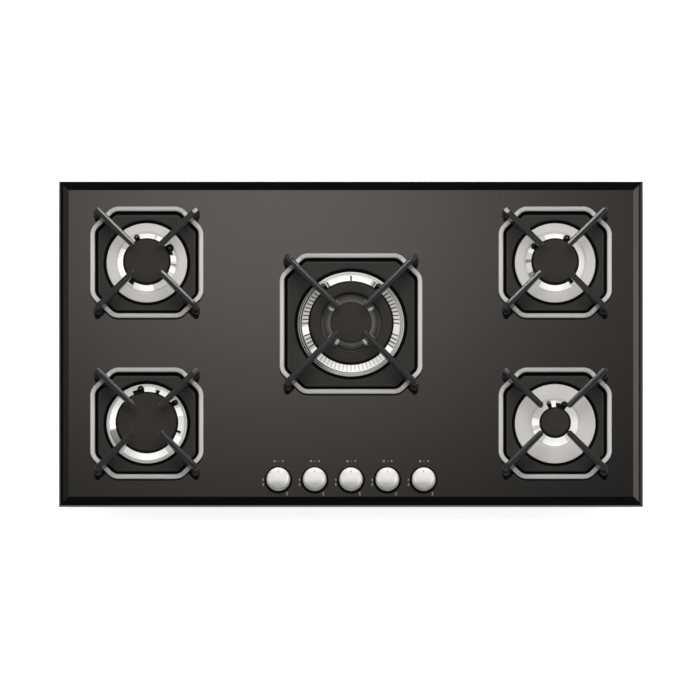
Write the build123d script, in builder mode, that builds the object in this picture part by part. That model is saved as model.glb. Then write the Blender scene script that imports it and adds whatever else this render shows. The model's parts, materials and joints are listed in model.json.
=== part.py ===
from build123d import *
import os
from math import cos, sin, radians, pi, sqrt, tan

# ---------------------------------------------------------------------------
# Built-in gas cooktop: a bevelled glass panel over a pressed-steel tray, with
# five burners, five lift-off pan supports and five push-and-turn taps.
# Millimetres. +X right, +Y towards the rear, +Z up; the knobs are at -Y.
# Origin: centre of the tray's underside.
# ---------------------------------------------------------------------------

# ---- glass panel
GLASS_X, GLASS_Y, GLASS_T = 900.0, 510.0, 8.0
GLASS_Z0 = 52.0                      # underside of the glass
GT = GLASS_Z0 + GLASS_T              # top of the glass, z = 60
BEVEL_OUT, BEVEL_OUT_DROP = 6.0, 4.0  # narrow outer strip: its foot is this far below the top
BEVEL_IN, BEVEL_IN_DROP = 15.0, 1.5   # wide facet starts this far inside the edge

# ---- tray
TRAY_X, TRAY_Y, TRAY_H, SHEET = 840.0, 464.0, 51.0, 1.0
FLANGE = 12.0
SEAL_W, SEAL_T = 8.0, 3.0

# ---- burner layout
OUT_X, OUT_Y = 314.5, 126.0
CEN_Y = 30.0
# name: centre, cap radius, crown radius, dish radius, neck, cup radius, cup flange,
#       glass hole, igniter angle, thermocouple angle, notch radius at each, flame ports
BURNERS = {
    "rear_left":   dict(c=(-OUT_X,  OUT_Y), rc=34.5, rk=45.5, rd=62.0, rn=16.6, rb=26.0, rf=34.0, rh=50.0, ig=32.0,  tc=112.0, ni=6.2, nt=4.6, ports=28),
    "rear_right":  dict(c=( OUT_X,  OUT_Y), rc=34.5, rk=45.5, rd=62.0, rn=16.6, rb=26.0, rf=34.0, rh=50.0, ig=142.0, tc=64.0,  ni=4.6, nt=5.8, ports=28),
    "front_left":  dict(c=(-OUT_X, -OUT_Y), rc=46.0, rk=58.0, rd=62.0, rn=20.6, rb=32.0, rf=44.0, rh=57.5, ig=36.0,  tc=100.0, ni=4.6, nt=6.8, ports=40),
    "front_right": dict(c=( OUT_X, -OUT_Y), rc=22.0, rk=36.0, rd=62.0, rn=12.6, rb=20.0, rf=25.0, rh=42.0, ig=64.0,  tc=108.0, ni=5.4, nt=3.6, ports=18),
    "centre":      dict(c=(0.0, CEN_Y),     rc=63.5, rk=76.0, rd=81.8, rn=24.6, rb=40.0, rf=60.0, rh=77.0, ig=54.0,  tc=126.0, ni=4.4, nt=3.8, ports=56),
}
DISH_T = 1.0
SEAT_Z = 63.0                        # flat of the dish that the crown stands on
CROWN_TOP = 75.2
CAP_EDGE = 2.6
CAP_DOME = 5.4                       # top of the dome above the crown
INNER_TOP = 77.6                     # seat of the small cap of the centre burner
CLEAR = 0.4                          # gap between a crown's neck and its cup

# ---- pan supports (half width of the bar's centre line, its distance on the diagonal)
BAR_W, BAR_H, BAR_Z = 8.0, 6.0, 62.5
SUPPORT = {
    "outer":  dict(a=83.6, d=95.3, rho=20.0, boss=106.8, tip=27.5),
    "centre": dict(a=106.4, d=127.2, rho=18.0, boss=138.4, tip=27.5),
}
ARM_T, ARM_TOP = 9.6, 105.0
ARM_END = 5.2                        # the arm runs this far past the centre of its foot
BOSS_R, FOOT_R = 6.6, 6.3
PLATE_T, BRIM_T = 2.8, 0.8           # raised field and thin brim of the spill plate
PLATE = {"outer": dict(a=74.0, d=86.0, hole=66.5, brim=5.3), "centre": dict(a=97.0, d=117.7, hole=86.5, brim=5.2)}

# ---- taps and knobs, left to right
KNOB_Y = -214.0
TAPS = {"front_left": -112.0, "rear_left": -56.0, "centre": 0.0, "rear_right": 56.0, "front_right": 112.0}
KNOB_R0, KNOB_R1, KNOB_Z0, KNOB_Z1 = 18.2, 16.0, 65.2, 85.5
SEAL_R, SEAL_H = 20.5, 1.5
SPINDLE_R, PLUG_R, RUN = 3.0, 6.0, 0.05
KNOB_HOLE = 12.0
RAIL_R, RAIL_Z, RAIL_TURN = 8.0, 18.0, 28.0
RAIL_X = 380.0
TUBE_R, TUBE_Z = 4.0, 36.0
INLET_R, INLET_Z, INLET_LEN = 10.4, RAIL_Z, 14.0
GLAND_X, GLAND_Z, GLAND_BORE = -380.0, 20.0, 3.4
BAR_TOP, BAR_SHEET, BAR_HALF = 11.0, 1.5, 25.0
BARS = {-OUT_X: (-180.0, 200.0), 0.0: (-150.0, 200.0), OUT_X: (-180.0, 200.0)}
SCREW_R, SCREW_HOLE, HEAD_R = 2.0, 2.1, 3.6
MODULE_C, MODULE_S = (-200.0, 195.0), (70.0, 46.0, 24.0)
CLAMPS = [(-1, -150.0), (-1, 150.0), (1, -150.0), (1, 150.0)]

os.makedirs("parts", exist_ok=True)


def save(part, name):
    part.label = name
    export_step(part, "parts/" + name + ".step")


def octagon(a, d):
    """Corners of a square of half width a whose corners are cut at distance d on the diagonal."""
    k = d * sqrt(2) - a
    return [(a, k), (k, a), (-k, a), (-a, k), (-a, -k), (-k, -a), (k, -a), (a, -k)]


def polar(c, r, deg):
    return (c[0] + r * cos(radians(deg)), c[1] + r * sin(radians(deg)))


def kind(name):
    return "centre" if name == "centre" else "outer"


# ---------------------------------------------------------------- glass panel
with BuildPart() as glass_panel:
    with BuildSketch(Plane.XY.offset(GLASS_Z0)):
        Rectangle(GLASS_X, GLASS_Y)
    extrude(amount=GLASS_T - BEVEL_OUT_DROP)
    with BuildSketch(Plane.XY.offset(GT - BEVEL_OUT_DROP)):
        Rectangle(GLASS_X, GLASS_Y)
    with BuildSketch(Plane.XY.offset(GT - BEVEL_IN_DROP)):
        Rectangle(GLASS_X - 2 * BEVEL_OUT, GLASS_Y - 2 * BEVEL_OUT)
    loft(ruled=True)
    with BuildSketch(Plane.XY.offset(GT - BEVEL_IN_DROP)):
        Rectangle(GLASS_X - 2 * BEVEL_OUT, GLASS_Y - 2 * BEVEL_OUT)
    with BuildSketch(Plane.XY.offset(GT)):
        Rectangle(GLASS_X - 2 * BEVEL_IN, GLASS_Y - 2 * BEVEL_IN)
    loft(ruled=True)
    with BuildSketch(Plane.XY.offset(GT)):
        for b in BURNERS.values():
            with Locations(b["c"]):
                Circle(b["rh"])
        with Locations(*[(x, KNOB_Y) for x in TAPS.values()]):
            Circle(KNOB_HOLE)
    extrude(amount=-GLASS_T, mode=Mode.SUBTRACT)
save(glass_panel.part, "glass_panel")

# ---------------------------------------------------------------- base tray
with BuildPart() as base_tray:
    with BuildSketch():
        RectangleRounded(TRAY_X, TRAY_Y, 14)
    extrude(amount=TRAY_H)
    with BuildSketch(Plane.XY.offset(TRAY_H)):
        RectangleRounded(TRAY_X + 2 * FLANGE, TRAY_Y + 2 * FLANGE, 14 + FLANGE)
    extrude(amount=GLASS_Z0 - TRAY_H)
    with BuildSketch(Plane.XY.offset(SHEET)):
        RectangleRounded(TRAY_X - 2 * SHEET, TRAY_Y - 2 * SHEET, 13)
    extrude(amount=GLASS_Z0 - SHEET, mode=Mode.SUBTRACT)
    # pressed corners: inside radius 3, outside radius 4
    fillet(base_tray.faces().filter_by(lambda f: abs(f.center().Z - SHEET) < 0.01).edges(), radius=3)
    fillet(base_tray.faces().sort_by(Axis.Z)[0].edges(), radius=4)
    # cooling slots in the floor, in two bays between the channels
    with BuildSketch():
        for sx in (-1, 1):
            with Locations((sx * 150.0, -110.0), (sx * 150.0, 60.0)):
                with GridLocations(0, 14, 1, 5):
                    SlotOverall(70, 5)
    extrude(amount=SHEET + 1, mode=Mode.SUBTRACT)
    # screw holes of the channels
    with BuildSketch():
        for x, (y0, y1) in BARS.items():
            with Locations(*[(x + s * (BAR_HALF + 5), y) for s in (-1, 1) for y in (y0 + 20, y1 - 20)]):
                Circle(SCREW_HOLE)
    extrude(amount=SHEET + 1, mode=Mode.SUBTRACT)
    # holes in the rear wall: gas inlet and cable gland
    with BuildSketch(Plane(origin=(0, TRAY_Y / 2 + 1, 0), x_dir=(1, 0, 0), z_dir=(0, -1, 0))):
        with Locations((RAIL_X, INLET_Z)):
            Circle(INLET_R + 0.3)
        with Locations((GLAND_X, GLAND_Z)):
            Circle(8.1)
    extrude(amount=4, mode=Mode.SUBTRACT)
    # holes of the worktop clamps in the side walls
    for s, y in CLAMPS:
        with BuildSketch(Plane(origin=(s * (TRAY_X / 2 + 1), y, 30), x_dir=(0, 1, 0), z_dir=(-s, 0, 0))):
            Circle(SCREW_HOLE)
        extrude(amount=3, mode=Mode.SUBTRACT)
save(base_tray.part, "base_tray")

# ---------------------------------------------------------------- foam seal under the rim of the glass
with BuildPart() as perimeter_seal:
    with BuildSketch(Plane.XY.offset(GLASS_Z0 - SEAL_T)):
        RectangleRounded(GLASS_X - 4, GLASS_Y - 4, 8)
        RectangleRounded(GLASS_X - 4 - 2 * SEAL_W, GLASS_Y - 4 - 2 * SEAL_W, 24, mode=Mode.SUBTRACT)
    extrude(amount=SEAL_T)
save(perimeter_seal.part, "perimeter_seal")

# ---------------------------------------------------------------- channels that carry the burner cups
with BuildPart() as burner_bars:
    for x, (y0, y1) in BARS.items():
        with BuildSketch(Plane(origin=(x, y0, 0), x_dir=(1, 0, 0), z_dir=(0, 1, 0))):
            with BuildLine():
                h, t, w = BAR_TOP, BAR_SHEET, BAR_HALF
                # the sketch's y axis points down here, so heights are negative
                Polyline((-w - 11, -SHEET), (-w + t, -SHEET), (-w + t, -h + t), (w - t, -h + t), (w - t, -SHEET),
                         (w + 11, -SHEET), (w + 11, -SHEET - t), (w, -SHEET - t), (w, -h), (-w, -h),
                         (-w, -SHEET - t), (-w - 11, -SHEET - t), close=True)
            make_face()
        extrude(amount=y1 - y0)
    with BuildSketch(Plane.XY):
        for x, (y0, y1) in BARS.items():
            with Locations(*[(x + s * (BAR_HALF + 5), y) for s in (-1, 1) for y in (y0 + 20, y1 - 20)]):
                Circle(SCREW_HOLE)
        for b in BURNERS.values():
            with Locations(*[(b["c"][0], b["c"][1] + s * (b["rb"] + 7)) for s in (-1, 1)]):
                Circle(SCREW_HOLE)
    extrude(amount=BAR_TOP + 1, mode=Mode.SUBTRACT)
save(burner_bars.part, "burner_bars")

# ---------------------------------------------------------------- burner cups (cast), one per burner
with BuildPart() as burner_cups:
    for name, b in BURNERS.items():
        cx, cy = b["c"]
        rb, rf, rt = b["rb"], b["rf"], b["rn"] + CLEAR
        with BuildSketch(Plane(origin=(cx, cy, 0), x_dir=(1, 0, 0), z_dir=(0, -1, 0))):
            with BuildLine():
                Polyline((0, BAR_TOP), (rb, BAR_TOP), (rb, 53), (rf - 3, 57), (rf, 58.5), (rf, SEAT_Z - DISH_T),
                         (rt, SEAT_Z - DISH_T), (rt, 22), (rt - 6, 15), (0, 15), close=True)
            make_face()
        revolve(axis=Axis((cx, cy, 0), (0, 0, 1)))
        # foot with two screw holes
        with BuildSketch(Plane.XY.offset(BAR_TOP)):
            with Locations((cx, cy)):
                RectangleRounded(36, 2 * (rb + 13), 8)
                Circle(rb - 1, mode=Mode.SUBTRACT)
            with Locations(*[(cx, cy + s * (rb + 7)) for s in (-1, 1)]):
                Circle(SCREW_HOLE, mode=Mode.SUBTRACT)
        extrude(amount=3)
        # ears that hold the spark electrode and the flame sensor
        for ang, rr in ((b["ig"], 2.7), (b["tc"], 2.1)):
            px, py = polar((cx, cy), b["rk"] - 3.8, ang)
            mid = polar((cx, cy), (b["rk"] - 3.8 + rb - 2) / 2, ang)
            length = b["rk"] - 3.8 - rb + 2
            with BuildSketch(Plane.XY.offset(46)):
                with Locations(Location((mid[0], mid[1], 0), (0, 0, ang))):
                    Rectangle(length, 9)
                with Locations((px, py)):
                    Circle(4.5)
                    Circle(rr, mode=Mode.SUBTRACT)
            extrude(amount=4)
        # gas inlet boss, or two of them on the centre burner
        if name == "centre":
            bosses = [((cx - 8, cy), (0, -1)), ((cx + 8, cy), (0, -1))]
        else:
            bosses = [((cx, cy), (1 if cx < 0 else -1, 0))]
        for (bx, by), (dx, dy) in bosses:
            with BuildSketch(Plane(origin=(bx + dx * (rt + 2), by + dy * (rt + 2), TUBE_Z), z_dir=(dx, dy, 0))):
                Circle(7)
            extrude(amount=rb + 14 - rt - 2)
            with BuildSketch(Plane(origin=(bx + dx * (rt - 2), by + dy * (rt - 2), TUBE_Z), z_dir=(dx, dy, 0))):
                Circle(2.5)
            extrude(amount=rb + 14 - rt + 4, mode=Mode.SUBTRACT)
save(burner_cups.part, "burner_cups")

# ---------------------------------------------------------------- silver drip dishes
with BuildPart() as drip_dishes:
    for name, b in BURNERS.items():
        cx, cy = b["c"]
        rk, rd, rt = b["rk"], b["rd"], b["rn"] + CLEAR + 0.4
        ridge = min(rk + 3.4, rd - 2.2)
        top = 64.6 if rd - rk > 8 else 64.0
        t = DISH_T
        with BuildSketch(Plane(origin=(cx, cy, 0), x_dir=(1, 0, 0), z_dir=(0, -1, 0))):
            with BuildLine():
                Polyline((rt, SEAT_Z - t), (rk + 0.6, SEAT_Z - t), (ridge, top - t), (rd - 0.9, GT), (rd, GT),
                         (rd, GT + 0.9), (rd - 0.7, GT + 1.4), (ridge, top), (rk + 0.8, SEAT_Z), (rt, SEAT_Z), close=True)
            make_face()
        revolve(axis=Axis((cx, cy, 0), (0, 0, 1)))
        with BuildSketch(Plane.XY.offset(SEAT_Z + 1)):
            with Locations(polar((cx, cy), rk - 3.8, b["ig"])):
                Circle(min(b["ni"] - 0.6, rd - rk + 0.8))
            with Locations(polar((cx, cy), rk - 3.8, b["tc"])):
                Circle(min(b["nt"] - 0.6, rd - rk + 0.8))
        extrude(amount=-3, mode=Mode.SUBTRACT)
save(drip_dishes.part, "drip_dishes")

# ---------------------------------------------------------------- black spill plates around the dishes
with BuildPart() as spill_plates:
    for name, b in BURNERS.items():
        p = PLATE[kind(name)]
        with BuildSketch(Plane.XY.offset(GT)):
            with BuildSketch(mode=Mode.PRIVATE) as octo:
                Polygon(*octagon(p["a"], p["d"]), align=None)
                fillet(octo.vertices(), radius=8)
            with Locations(b["c"]):
                add(octo.sketch)
                Circle(p["hole"], mode=Mode.SUBTRACT)
        extrude(amount=PLATE_T)
        # thin brim: outwards to just short of the bar frame, inwards to just short of the dish
        with BuildSketch(Plane.XY.offset(GT)):
            with BuildSketch(mode=Mode.PRIVATE) as octo:
                Polygon(*octagon(p["a"] + p["brim"], p["d"] + p["brim"] - 0.3), align=None)
                fillet(octo.vertices(), radius=12)
            with Locations(b["c"]):
                add(octo.sketch)
                Circle(b["rd"] + 0.4, mode=Mode.SUBTRACT)
        extrude(amount=BRIM_T)
    chamfer(spill_plates.faces().filter_by(Axis.Z).filter_by(lambda f: f.center().Z > GT + 2).edges(), length=1.1)
save(spill_plates.part, "spill_plates")

# ---------------------------------------------------------------- crowns (flame rings), each lifts off its cup
for name, b in BURNERS.items():
    cx, cy = b["c"]
    rc, rk, rn = b["rc"], b["rk"], b["rn"]
    with BuildPart() as crown:
        with BuildSketch(Plane(origin=(cx, cy, 0), x_dir=(1, 0, 0), z_dir=(0, -1, 0))):
            with BuildLine():
                if name == "centre":
                    Polyline((rn - 3, 50), (rn, 50), (rn, SEAT_Z), (rk, SEAT_Z), (rk, SEAT_Z + 1.6), (rk - 0.8, SEAT_Z + 2.4),
                             (rc + 2.2, 71.8), (rc - 0.6, 72.8), (rc - 0.6, CROWN_TOP), (rc - 4.5, CROWN_TOP), (rc - 4.5, 67.5),
                             (50.5, 67.5), (50.5, CROWN_TOP), (46.6, CROWN_TOP), (46.6, 67.5), (42.2, 67.5), (42.2, 71.0),
                             (33.0, INNER_TOP - 1.4), (31.2, INNER_TOP - 0.8), (31.2, INNER_TOP), (27.0, INNER_TOP),
                             (27.0, 70), (rn - 3, 66), close=True)
                else:
                    Polyline((rn - 3, 50), (rn, 50), (rn, SEAT_Z), (rk, SEAT_Z), (rk, SEAT_Z + 1.4), (rk - 0.8, SEAT_Z + 2.2),
                             (rc + 1.8, 71.8), (rc - 0.6, 72.8), (rc - 0.6, CROWN_TOP), (rc - 4.5, CROWN_TOP), (rc - 4.5, 70),
                             (rn - 3, 66), close=True)
            make_face()
        revolve(axis=Axis((cx, cy, 0), (0, 0, 1)))
        # flame ports
        with BuildSketch(Plane.XY.offset(CROWN_TOP + 0.01)):
            with Locations((cx, cy)):
                with PolarLocations(rc - 0.3, b["ports"]):
                    Rectangle(9.5, 1.5)
        extrude(amount=-2.8, mode=Mode.SUBTRACT)
        if name == "centre":
            with BuildSketch(Plane.XY.offset(INNER_TOP + 0.01)):
                with Locations((cx, cy)):
                    with PolarLocations(30.5, 20):
                        Rectangle(8, 1.3)
            extrude(amount=-2.2, mode=Mode.SUBTRACT)
            # four bridges between the inner and the outer flame ring
            with BuildSketch(Plane.XY.offset(67.0)):
                with Locations((cx, cy)):
                    with PolarLocations(38.8, 4, start_angle=35):
                        Rectangle(9.6, 5.0)
            extrude(amount=INNER_TOP - 1.6 - 67.0)
        # notches for the spark electrode and the flame sensor
        for ang, rr in ((b["ig"], b["ni"]), (b["tc"], b["nt"])):
            with BuildSketch(Plane.XY.offset(SEAT_Z - 1)):
                with Locations(polar((cx, cy), rk - 3.8, ang)):
                    Circle(rr)
                with Locations(Location((*polar((cx, cy), rk, ang), 0), (0, 0, ang))):
                    Rectangle(7.6, 2 * rr)
            extrude(amount=20, mode=Mode.SUBTRACT)
    save(crown.part, "burner_crown_" + name)

# ---------------------------------------------------------------- caps
for name, b in BURNERS.items():
    cx, cy = b["c"]
    rc = b["rc"]
    z = CROWN_TOP
    with BuildPart() as cap:
        with BuildSketch(Plane(origin=(cx, cy, 0), x_dir=(1, 0, 0), z_dir=(0, -1, 0))):
            with BuildLine():
                if name == "centre":
                    ri = 46.2
                    l1 = Polyline((rc - 0.9, z + CAP_EDGE), (rc, z + CAP_EDGE - 0.9), (rc, z), (rc - 5.0, z), (rc - 5.0, z - 3),
                                  (rc - 7.0, z - 3), (rc - 7.0, z), (ri, z), (ri, z + 2.6), (ri + 0.9, z + 3.6))
                    ThreePointArc(l1 @ 1, (54.5, z + CAP_DOME), l1 @ 0)
                else:
                    l1 = Polyline((rc - 0.9, z + CAP_EDGE), (rc, z + CAP_EDGE - 0.9), (rc, z), (rc - 5.0, z), (rc - 5.0, z - 3),
                                  (rc - 7.0, z - 3), (rc - 7.0, z), (0, z), (0, z + CAP_DOME))
                    h = rc - 0.9
                    ThreePointArc(l1 @ 1, (h * 0.55, z + CAP_EDGE + (CAP_DOME - CAP_EDGE) * 0.70), l1 @ 0)
            make_face()
        revolve(axis=Axis((cx, cy, 0), (0, 0, 1)))
    save(cap.part, "burner_cap_" + ("centre_outer" if name == "centre" else name))

with BuildPart() as burner_cap_centre_inner:
    ci, z = 31.6, INNER_TOP
    with BuildSketch(Plane(origin=(0, CEN_Y, 0), x_dir=(1, 0, 0), z_dir=(0, -1, 0))):
        with BuildLine():
            l1 = Polyline((ci - 0.9, z + 2.4), (ci, z + 1.5), (ci, z), (ci - 5.0, z), (ci - 5.0, z - 3), (ci - 7.0, z - 3),
                          (ci - 7.0, z), (0, z), (0, z + 5.0))
            ThreePointArc(l1 @ 1, ((ci - 0.9) * 0.55, z + 2.4 + 2.6 * 0.70), l1 @ 0)
        make_face()
    revolve(axis=Axis((0, CEN_Y, 0), (0, 0, 1)))
save(burner_cap_centre_inner.part, "burner_cap_centre_inner")

# ---------------------------------------------------------------- spark electrodes with their leads
LEAD_Z, LEAD_R = 20.0, 1.2
leads = {}
for name, b in BURNERS.items():
    leads[name] = polar(b["c"], b["rk"] - 3.8, b["ig"])
mx, my = MODULE_C
front = my - MODULE_S[1] / 2
routes = {
    "rear_left": [(leads["rear_left"][0], my), (mx - MODULE_S[0] / 2, my)],
    "front_left": [(-225.0, leads["front_left"][1]), (-225.0, front)],
    "front_right": [(-212.0, leads["front_right"][1]), (-212.0, front)],
    "centre": [(leads["centre"][0], 140.0), (-199.0, 140.0), (-199.0, front)],
    "rear_right": [(-186.0, leads["rear_right"][1]), (-186.0, front)],
}
with BuildPart() as spark_igniters:
    for name, b in BURNERS.items():
        px, py = leads[name]
        with BuildSketch(Plane(origin=(px, py, 0), x_dir=(1, 0, 0), z_dir=(0, -1, 0))):
            with BuildLine():
                Polyline((0, 44), (2.6, 44), (2.6, 50), (4.0, 50), (4.0, 51.7), (2.6, 51.7), (2.6, 69), (1.7, 70.4),
                         (0.8, 70.4), (0.8, 75.0), (0, 75.4), close=True)
            make_face()
        revolve(axis=Axis((px, py, 0), (0, 0, 1)))
    for name, pts in routes.items():
        px, py = leads[name]
        path3 = [(px, py, 43.98), (px, py, LEAD_Z)] + [(q[0], q[1], LEAD_Z) for q in pts]
        with BuildLine() as path:
            FilletPolyline(*path3, radius=7)
        with BuildSketch(Plane(origin=path3[0], z_dir=(0, 0, -1))):
            Circle(LEAD_R)
        sweep(path=path.wires()[0])
save(spark_igniters.part, "spark_igniters")

# ---------------------------------------------------------------- flame sensors
with BuildPart() as thermocouples:
    for name, b in BURNERS.items():
        px, py = polar(b["c"], b["rk"] - 3.8, b["tc"])
        with BuildSketch(Plane(origin=(px, py, 0), x_dir=(1, 0, 0), z_dir=(0, -1, 0))):
            with BuildLine():
                Polyline((0, 40), (1.2, 40), (1.2, 44), (2.0, 45), (2.0, 50), (3.6, 50), (3.6, 51.7), (2.0, 51.7),
                         (2.0, 67), (1.3, 68), (1.3, 72.4), (0.6, 73.4), (0, 73.4), close=True)
            make_face()
        revolve(axis=Axis((px, py, 0), (0, 0, 1)))
save(thermocouples.part, "thermocouples")

# ---------------------------------------------------------------- gas rail
with BuildPart() as manifold_rail:
    with BuildLine() as rail_path:
        FilletPolyline((-134, KNOB_Y, RAIL_Z), (RAIL_X, KNOB_Y, RAIL_Z), (RAIL_X, 206, RAIL_Z), radius=RAIL_TURN)
    with BuildSketch(Plane(origin=(-134, KNOB_Y, RAIL_Z), z_dir=(1, 0, 0))):
        Circle(RAIL_R)
        Circle(RAIL_R - 1.5, mode=Mode.SUBTRACT)
    sweep(path=rail_path.wires()[0])
    with BuildSketch(Plane(origin=(-134, KNOB_Y, RAIL_Z), z_dir=(1, 0, 0))):
        Circle(RAIL_R)
    extrude(amount=2)
save(manifold_rail.part, "manifold_rail")

# ---------------------------------------------------------------- gas inlet
with BuildPart() as gas_inlet:
    with BuildSketch(Plane(origin=(RAIL_X, 198, INLET_Z), x_dir=(1, 0, 0), z_dir=(0, 1, 0))):
        RegularPolygon(12, 6, major_radius=False)
    extrude(amount=18)
    with BuildSketch(Plane(origin=(RAIL_X, 216, INLET_Z), x_dir=(1, 0, 0), z_dir=(0, 1, 0))):
        Circle(INLET_R - 0.2)
    extrude(amount=22)
    with BuildSketch(Plane(origin=(RAIL_X, 238, INLET_Z), x_dir=(1, 0, 0), z_dir=(0, 1, 0))):
        Circle(INLET_R)
    extrude(amount=INLET_LEN)
    with BuildSketch(Plane(origin=(RAIL_X, 198, INLET_Z), x_dir=(1, 0, 0), z_dir=(0, 1, 0))):
        Circle(RAIL_R + RUN)
    extrude(amount=8.1, mode=Mode.SUBTRACT)
    with BuildSketch(Plane(origin=(RAIL_X, 206, INLET_Z), x_dir=(1, 0, 0), z_dir=(0, 1, 0))):
        Circle(RAIL_R - 1.5)
    extrude(amount=50, mode=Mode.SUBTRACT)
save(gas_inlet.part, "gas_inlet")

# ---------------------------------------------------------------- tap bodies, saddled on the rail
with BuildPart() as gas_taps:
    for name, x in TAPS.items():
        with BuildSketch(Plane.XY.offset(RAIL_Z)):
            with Locations((x, KNOB_Y)):
                RectangleRounded(24, 26, 3)
        extrude(amount=16)
        with BuildSketch(Plane.XY.offset(RAIL_Z + 15)):
            with Locations((x, KNOB_Y)):
                Circle(11)
        extrude(amount=50 - RAIL_Z - 15)
        for dx in ((-8, 8) if name == "centre" else (0,)):
            with BuildSketch(Plane(origin=(x + dx, KNOB_Y + 7, TUBE_Z), z_dir=(0, 1, 0))):
                Circle(5.5)
            extrude(amount=8)
            with BuildSketch(Plane(origin=(x + dx, KNOB_Y + 2, TUBE_Z), z_dir=(0, 1, 0))):
                Circle(2)
            extrude(amount=14, mode=Mode.SUBTRACT)
        with BuildSketch(Plane.XY.offset(50)):
            with Locations((x, KNOB_Y)):
                Circle(PLUG_R + RUN)
        extrude(amount=-20, mode=Mode.SUBTRACT)
    with BuildSketch(Plane(origin=(-150, KNOB_Y, RAIL_Z), z_dir=(1, 0, 0))):
        Circle(RAIL_R + RUN)
    extrude(amount=300, mode=Mode.SUBTRACT)
save(gas_taps.part, "gas_taps")

# ---------------------------------------------------------------- aluminium gas tubes, tap to burner
def cup_end(name):
    b = BURNERS[name]
    return b["rb"] + 14


y0 = KNOB_Y + 15
tube_paths = []
for s, front_name, rear_name in ((-1, "front_left", "rear_left"), (1, "front_right", "rear_right")):
    xf, xr = s * (OUT_X - cup_end(front_name)), s * (OUT_X - cup_end(rear_name))
    tube_paths.append([(s * 112, y0), (s * 112, -OUT_Y), (xf, -OUT_Y)])
    tube_paths.append([(s * 56, y0), (s * 56, -105), (s * 180, -35), (s * 180, OUT_Y), (xr, OUT_Y)])
for dx in (-8, 8):
    tube_paths.append([(dx, y0), (dx, CEN_Y - cup_end("centre"))])
with BuildPart() as gas_tubes:
    for pts in tube_paths:
        p3 = [(q[0], q[1], TUBE_Z) for q in pts]
        with BuildLine() as path:
            if len(p3) > 2:
                FilletPolyline(*p3, radius=24)
            else:
                Line(*p3)
        with BuildSketch(Plane(origin=p3[0], z_dir=(0, 1, 0))):
            Circle(TUBE_R)
            Circle(TUBE_R - 1, mode=Mode.SUBTRACT)
        sweep(path=path.wires()[0])
save(gas_tubes.part, "gas_tubes")

# ---------------------------------------------------------------- brass nuts and jets
with BuildPart() as brass_fittings:
    for pts in tube_paths:
        ends = [(pts[0], (0, 1))]
        (xa, ya), (xb, yb) = pts[-2], pts[-1]
        n = sqrt((xa - xb) ** 2 + (ya - yb) ** 2)
        ends.append((pts[-1], ((xa - xb) / n, (ya - yb) / n)))
        for (x, y), (dx, dy) in ends:
            with BuildSketch(Plane(origin=(x, y, TUBE_Z), x_dir=(0, 0, 1), z_dir=(dx, dy, 0))):
                RegularPolygon(6.6, 6, major_radius=False)
                Circle(TUBE_R + RUN, mode=Mode.SUBTRACT)
            extrude(amount=9)
    for name, b in BURNERS.items():
        with BuildSketch(Plane.XY.offset(15)):
            for dx in ((-8, 8) if name == "centre" else (0,)):
                with Locations((b["c"][0] + dx, b["c"][1])):
                    RegularPolygon(4.5, 6, major_radius=False)
                    Circle(0.6, mode=Mode.SUBTRACT)
        extrude(amount=9)
    # lock nut of the gas inlet, outside the rear wall
    with BuildSketch(Plane(origin=(RAIL_X, TRAY_Y / 2, INLET_Z), x_dir=(1, 0, 0), z_dir=(0, 1, 0))):
        RegularPolygon(13.5, 6, major_radius=False)
        Circle(INLET_R - 0.2 + RUN, mode=Mode.SUBTRACT)
    extrude(amount=6)
save(brass_fittings.part, "brass_fittings")

# ---------------------------------------------------------------- knob seals on the glass
with BuildPart() as knob_seals:
    for x in TAPS.values():
        with BuildSketch(Plane(origin=(x, KNOB_Y, 0), x_dir=(1, 0, 0), z_dir=(0, -1, 0))):
            with BuildLine():
                Polyline((9.5, GLASS_Z0 - 1), (KNOB_HOLE - 0.1, GLASS_Z0 - 1), (KNOB_HOLE - 0.1, GT), (SEAL_R, GT),
                         (SEAL_R, GT + 0.7), (SEAL_R - 0.8, GT + SEAL_H), (9.5, GT + SEAL_H), close=True)
            make_face()
        revolve(axis=Axis((x, KNOB_Y, 0), (0, 0, 1)))
save(knob_seals.part, "knob_seals")

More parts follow.
